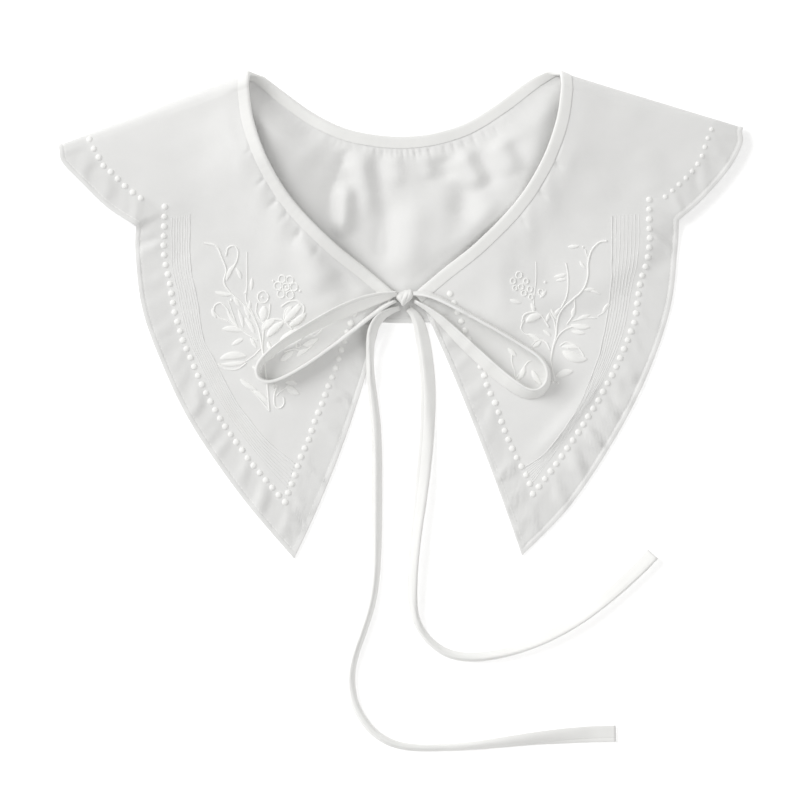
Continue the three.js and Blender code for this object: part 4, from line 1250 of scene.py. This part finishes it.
def dots(side):
    work = Needlework()
    for row in (f"{side}_outer", f"{side}_inner", f"{side}_petal"):
        line = Line(plan(DOT_ROWS[row]) + SHIFT)
        size = SMALL_DOTS if row == "right_petal" else 1
        for i, p in enumerate(line.at(np.linspace(0, 1, round(line.length / DOT_PITCH) + 1))):
            wobble = 0.12 * math.sin(7.3 * i), 0.12 * math.sin(5.1 * i + 1)
            radius = DOT_RADIUS * size * (1 + 0.05 * math.sin(3.7 * i))
            work.dot(p + wobble, radius, DOT_HEIGHT * size, turn=0.7 * i)
    work.piece(f"dots_{side}", thread_white)


def tucks(side):
    work = Needlework()
    outer, inner = (Line(plan(rows) + SHIFT) for rows in TUCKS[side])
    share = np.linspace(0, 1, 230)
    for i in range(TUCK_COUNT):
        k = i / (TUCK_COUNT - 1)
        path = outer.at(share) * (1 - k) + inner.at(share) * k
        path[:, 0] += 0.35 * ripple(path, 9, 4 + i)
        height = (TUCK_HEIGHT if i < TUCK_COUNT - 1 else LAST_TUCK_HEIGHT) * (1 + 0.8 * ripple(path, 6, i))
        work.strip(path, 0.3, height, columns=5, thread=1.6)
    work.piece(f"tucks_{side}", cotton)


def hem_stitches(side):
    """A row of single stitches next to the hem's seam, over the ribs of a lapel."""
    count = STEPS["inner"] + STEPS["outer"] + STEPS["petal"]
    ribs = slice(0, count) if side == "left" else slice(-count, None)
    edge = slice(-len(HEM_INSETS) - 3, None)
    points = [
        [np.interp(HEM_WIDTH + 0.1, inset[edge][::-1], rib[edge, k][::-1]) for k in range(2)]
        for rib, inset in zip(ring["points"][ribs], ring["inset"][ribs])
    ]
    work = Needlework()
    line = Line(points, straight=True)
    swell = np.sin(math.pi * np.linspace(0.12, 0.88, STITCH_POINTS))
    stitch = np.linspace(0, STITCH_LENGTH, STITCH_POINTS)
    pitch = STITCH_LENGTH + STITCH_GAP
    for i in range(int(line.length / pitch)):
        path = line.at((stitch + i * pitch) / line.length)
        work.strip(path, STITCH_WIDTH / 2 * swell, STITCH_HEIGHT * swell, columns=5)
    work.piece(f"hem_stitches_{side}", thread_white)


def sprig(side):
    stems, leaves, rings = Needlework(), Needlework(), Needlework()
    for width, *pixels in STEMS[side]:
        stems.stem(pixels, width)
    for x, y, tip_x, tip_y, width, bow in LEAVES[side]:
        leaves.leaf((x, y), (tip_x, tip_y), width, bow)
    for x, y, radius in RINGS[side]:
        rings.ring((x, y), radius)
    stems.piece(f"sprig_stems_{side}", thread_white)
    leaves.piece(f"sprig_leaves_{side}", thread_white)
    rings.piece(f"sprig_rings_{side}", thread_white)


for side in SIGN:
    dots(side)
    tucks(side)
    sprig(side)


# The ribbons, laid over the cloth and its needlework
laid_tree = tree_of(cloth, binding, *needlework)

TAIL_STEP = 1.5
LOOP_STEP = 0.9
for side, table in (("left", TAIL_LEFT), ("right", TAIL_RIGHT)):
    tail, path = ribbon(f"tie_tail_{side}", table, 1, TAIL_STEP)
for side, table in (("left", LOOP_LEFT), ("right", LOOP_RIGHT)):
    ribbon(f"bow_loop_{side}", table, LOOP_LENGTH, LOOP_STEP)
for side in SIGN:
    hem_stitches(side)

# The knot: the ribbon wrapped once round, pinched where the loops leave it
# The knot's outline: x, its upper and its lower edge, in mm from its centre
KNOT_OUTLINE = [
    (-5.2, 1.6, -0.4), (-4.2, 2.6, -1.4), (-3, 3.5, -2.6), (-1.6, 3.9, -4.9), (-0.6, 4.2, -4.6),
    (0.8, 4.5, -3.4), (2.2, 4.8, -2.2), (3.4, 5, -1.2), (4.2, 4.2, -0.2), (4.8, 3, 0.8),
]
# Two creases run aslant down its front: depth, place and width
KNOT_CREASES = [(0.1, -1.5, 0.45), (0.12, 1.3, 0.4)]
KNOT_ASLANT = 0.35


def knot_body():
    edges = np.array(KNOT_OUTLINE)
    x = np.linspace(edges[0, 0], edges[-1, 0], 44)
    top, bottom = (np.interp(x, edges[:, 0], edges[:, k]) for k in (1, 2))
    angle = np.linspace(0, 2 * math.pi, 56, endpoint=False)
    rings = []
    for at, high, low in zip(x, top, bottom):
        size = (1 - min(1, abs(at + 0.2) / 5) ** 3) ** 0.5 * 0.6 + 0.4
        y = (high + low) / 2 + np.cos(angle) * (high - low) / 2
        aslant = at - KNOT_ASLANT * y
        crease = sum(depth * hump(aslant - place, width) for depth, place, width in KNOT_CREASES)
        z = np.sin(angle) * KNOT_HEIGHT / 2 * size * (1 - crease + 0.02 * np.sin(5 * angle + at))
        rings.append(np.stack([np.full_like(y, at), y, z], -1))
    return np.array(rings) + np.array(knot_centre)


rings = knot_body()
knot = mesh_object("bow_knot_detail", rings.reshape(-1, 3), tube_faces(*rings.shape[:2]), bias)
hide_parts("bow_knot")

# Camera, floor and light
scene = bpy.context.scene
camera = bpy.data.objects.new("camera", bpy.data.cameras.new("camera"))
scene.collection.objects.link(camera)
scene.camera = camera
LENS = 200
SENSOR = 36
camera.data.lens = LENS
camera.data.sensor_width = SENSOR
frame_width = PHOTO_PIXELS * MM_PER_PIXEL
look_at = plan((PHOTO_PIXELS / 2, PHOTO_PIXELS / 2)) + SHIFT
CLOTH_LEVEL = 4  # the height at which a pixel of the picture is a pixel of the photograph
camera.location = (*look_at * MM, (frame_width * LENS / SENSOR + CLOTH_LEVEL) * MM)
camera.data.clip_end = 20

floor_material, _ = plain_material("pale_floor", {
    "Base Color": (0.92, 0.92, 0.92, 1),
    "Roughness": 0.9,
    "Emission Color": (1, 1, 1, 1),
    "Emission Strength": 0.35,
})
FLOOR = 3000
FLOOR_LEVEL = -0.3
corners = [(x * FLOOR, y * FLOOR, FLOOR_LEVEL) for x, y in ((-1, -1), (1, -1), (1, 1), (-1, 1))]
floor = mesh_object("floor", corners, [(0, 1, 2, 3)], floor_material)

world = bpy.data.worlds.new("studio")
scene.world = world
world.use_nodes = True
set_inputs(world.node_tree.nodes["Background"], {"Color": (1, 0.995, 0.985, 1), "Strength": 0.49})


def area_light(name, location, size, power):
    light = bpy.data.lights.new(name, "AREA")
    light.shape = "DISK"
    light.size = size
    light.energy = power
    obj = bpy.data.objects.new(name, light)
    scene.collection.objects.link(obj)
    obj.location = location
    obj.rotation_euler = (-Vector(location)).to_track_quat("-Z", "Y").to_euler()


# Places and sizes in metres, power in watts
area_light("key", (-4.5, 2.35, 3.5), 4.2, 243)
area_light("fill", (1.9, -1.3, 2.7), 2.2, 17)

scene.view_settings.view_transform = "Standard"
scene.view_settings.look = "None"
scene.view_settings.exposure = 0
scene.view_settings.gamma = 1
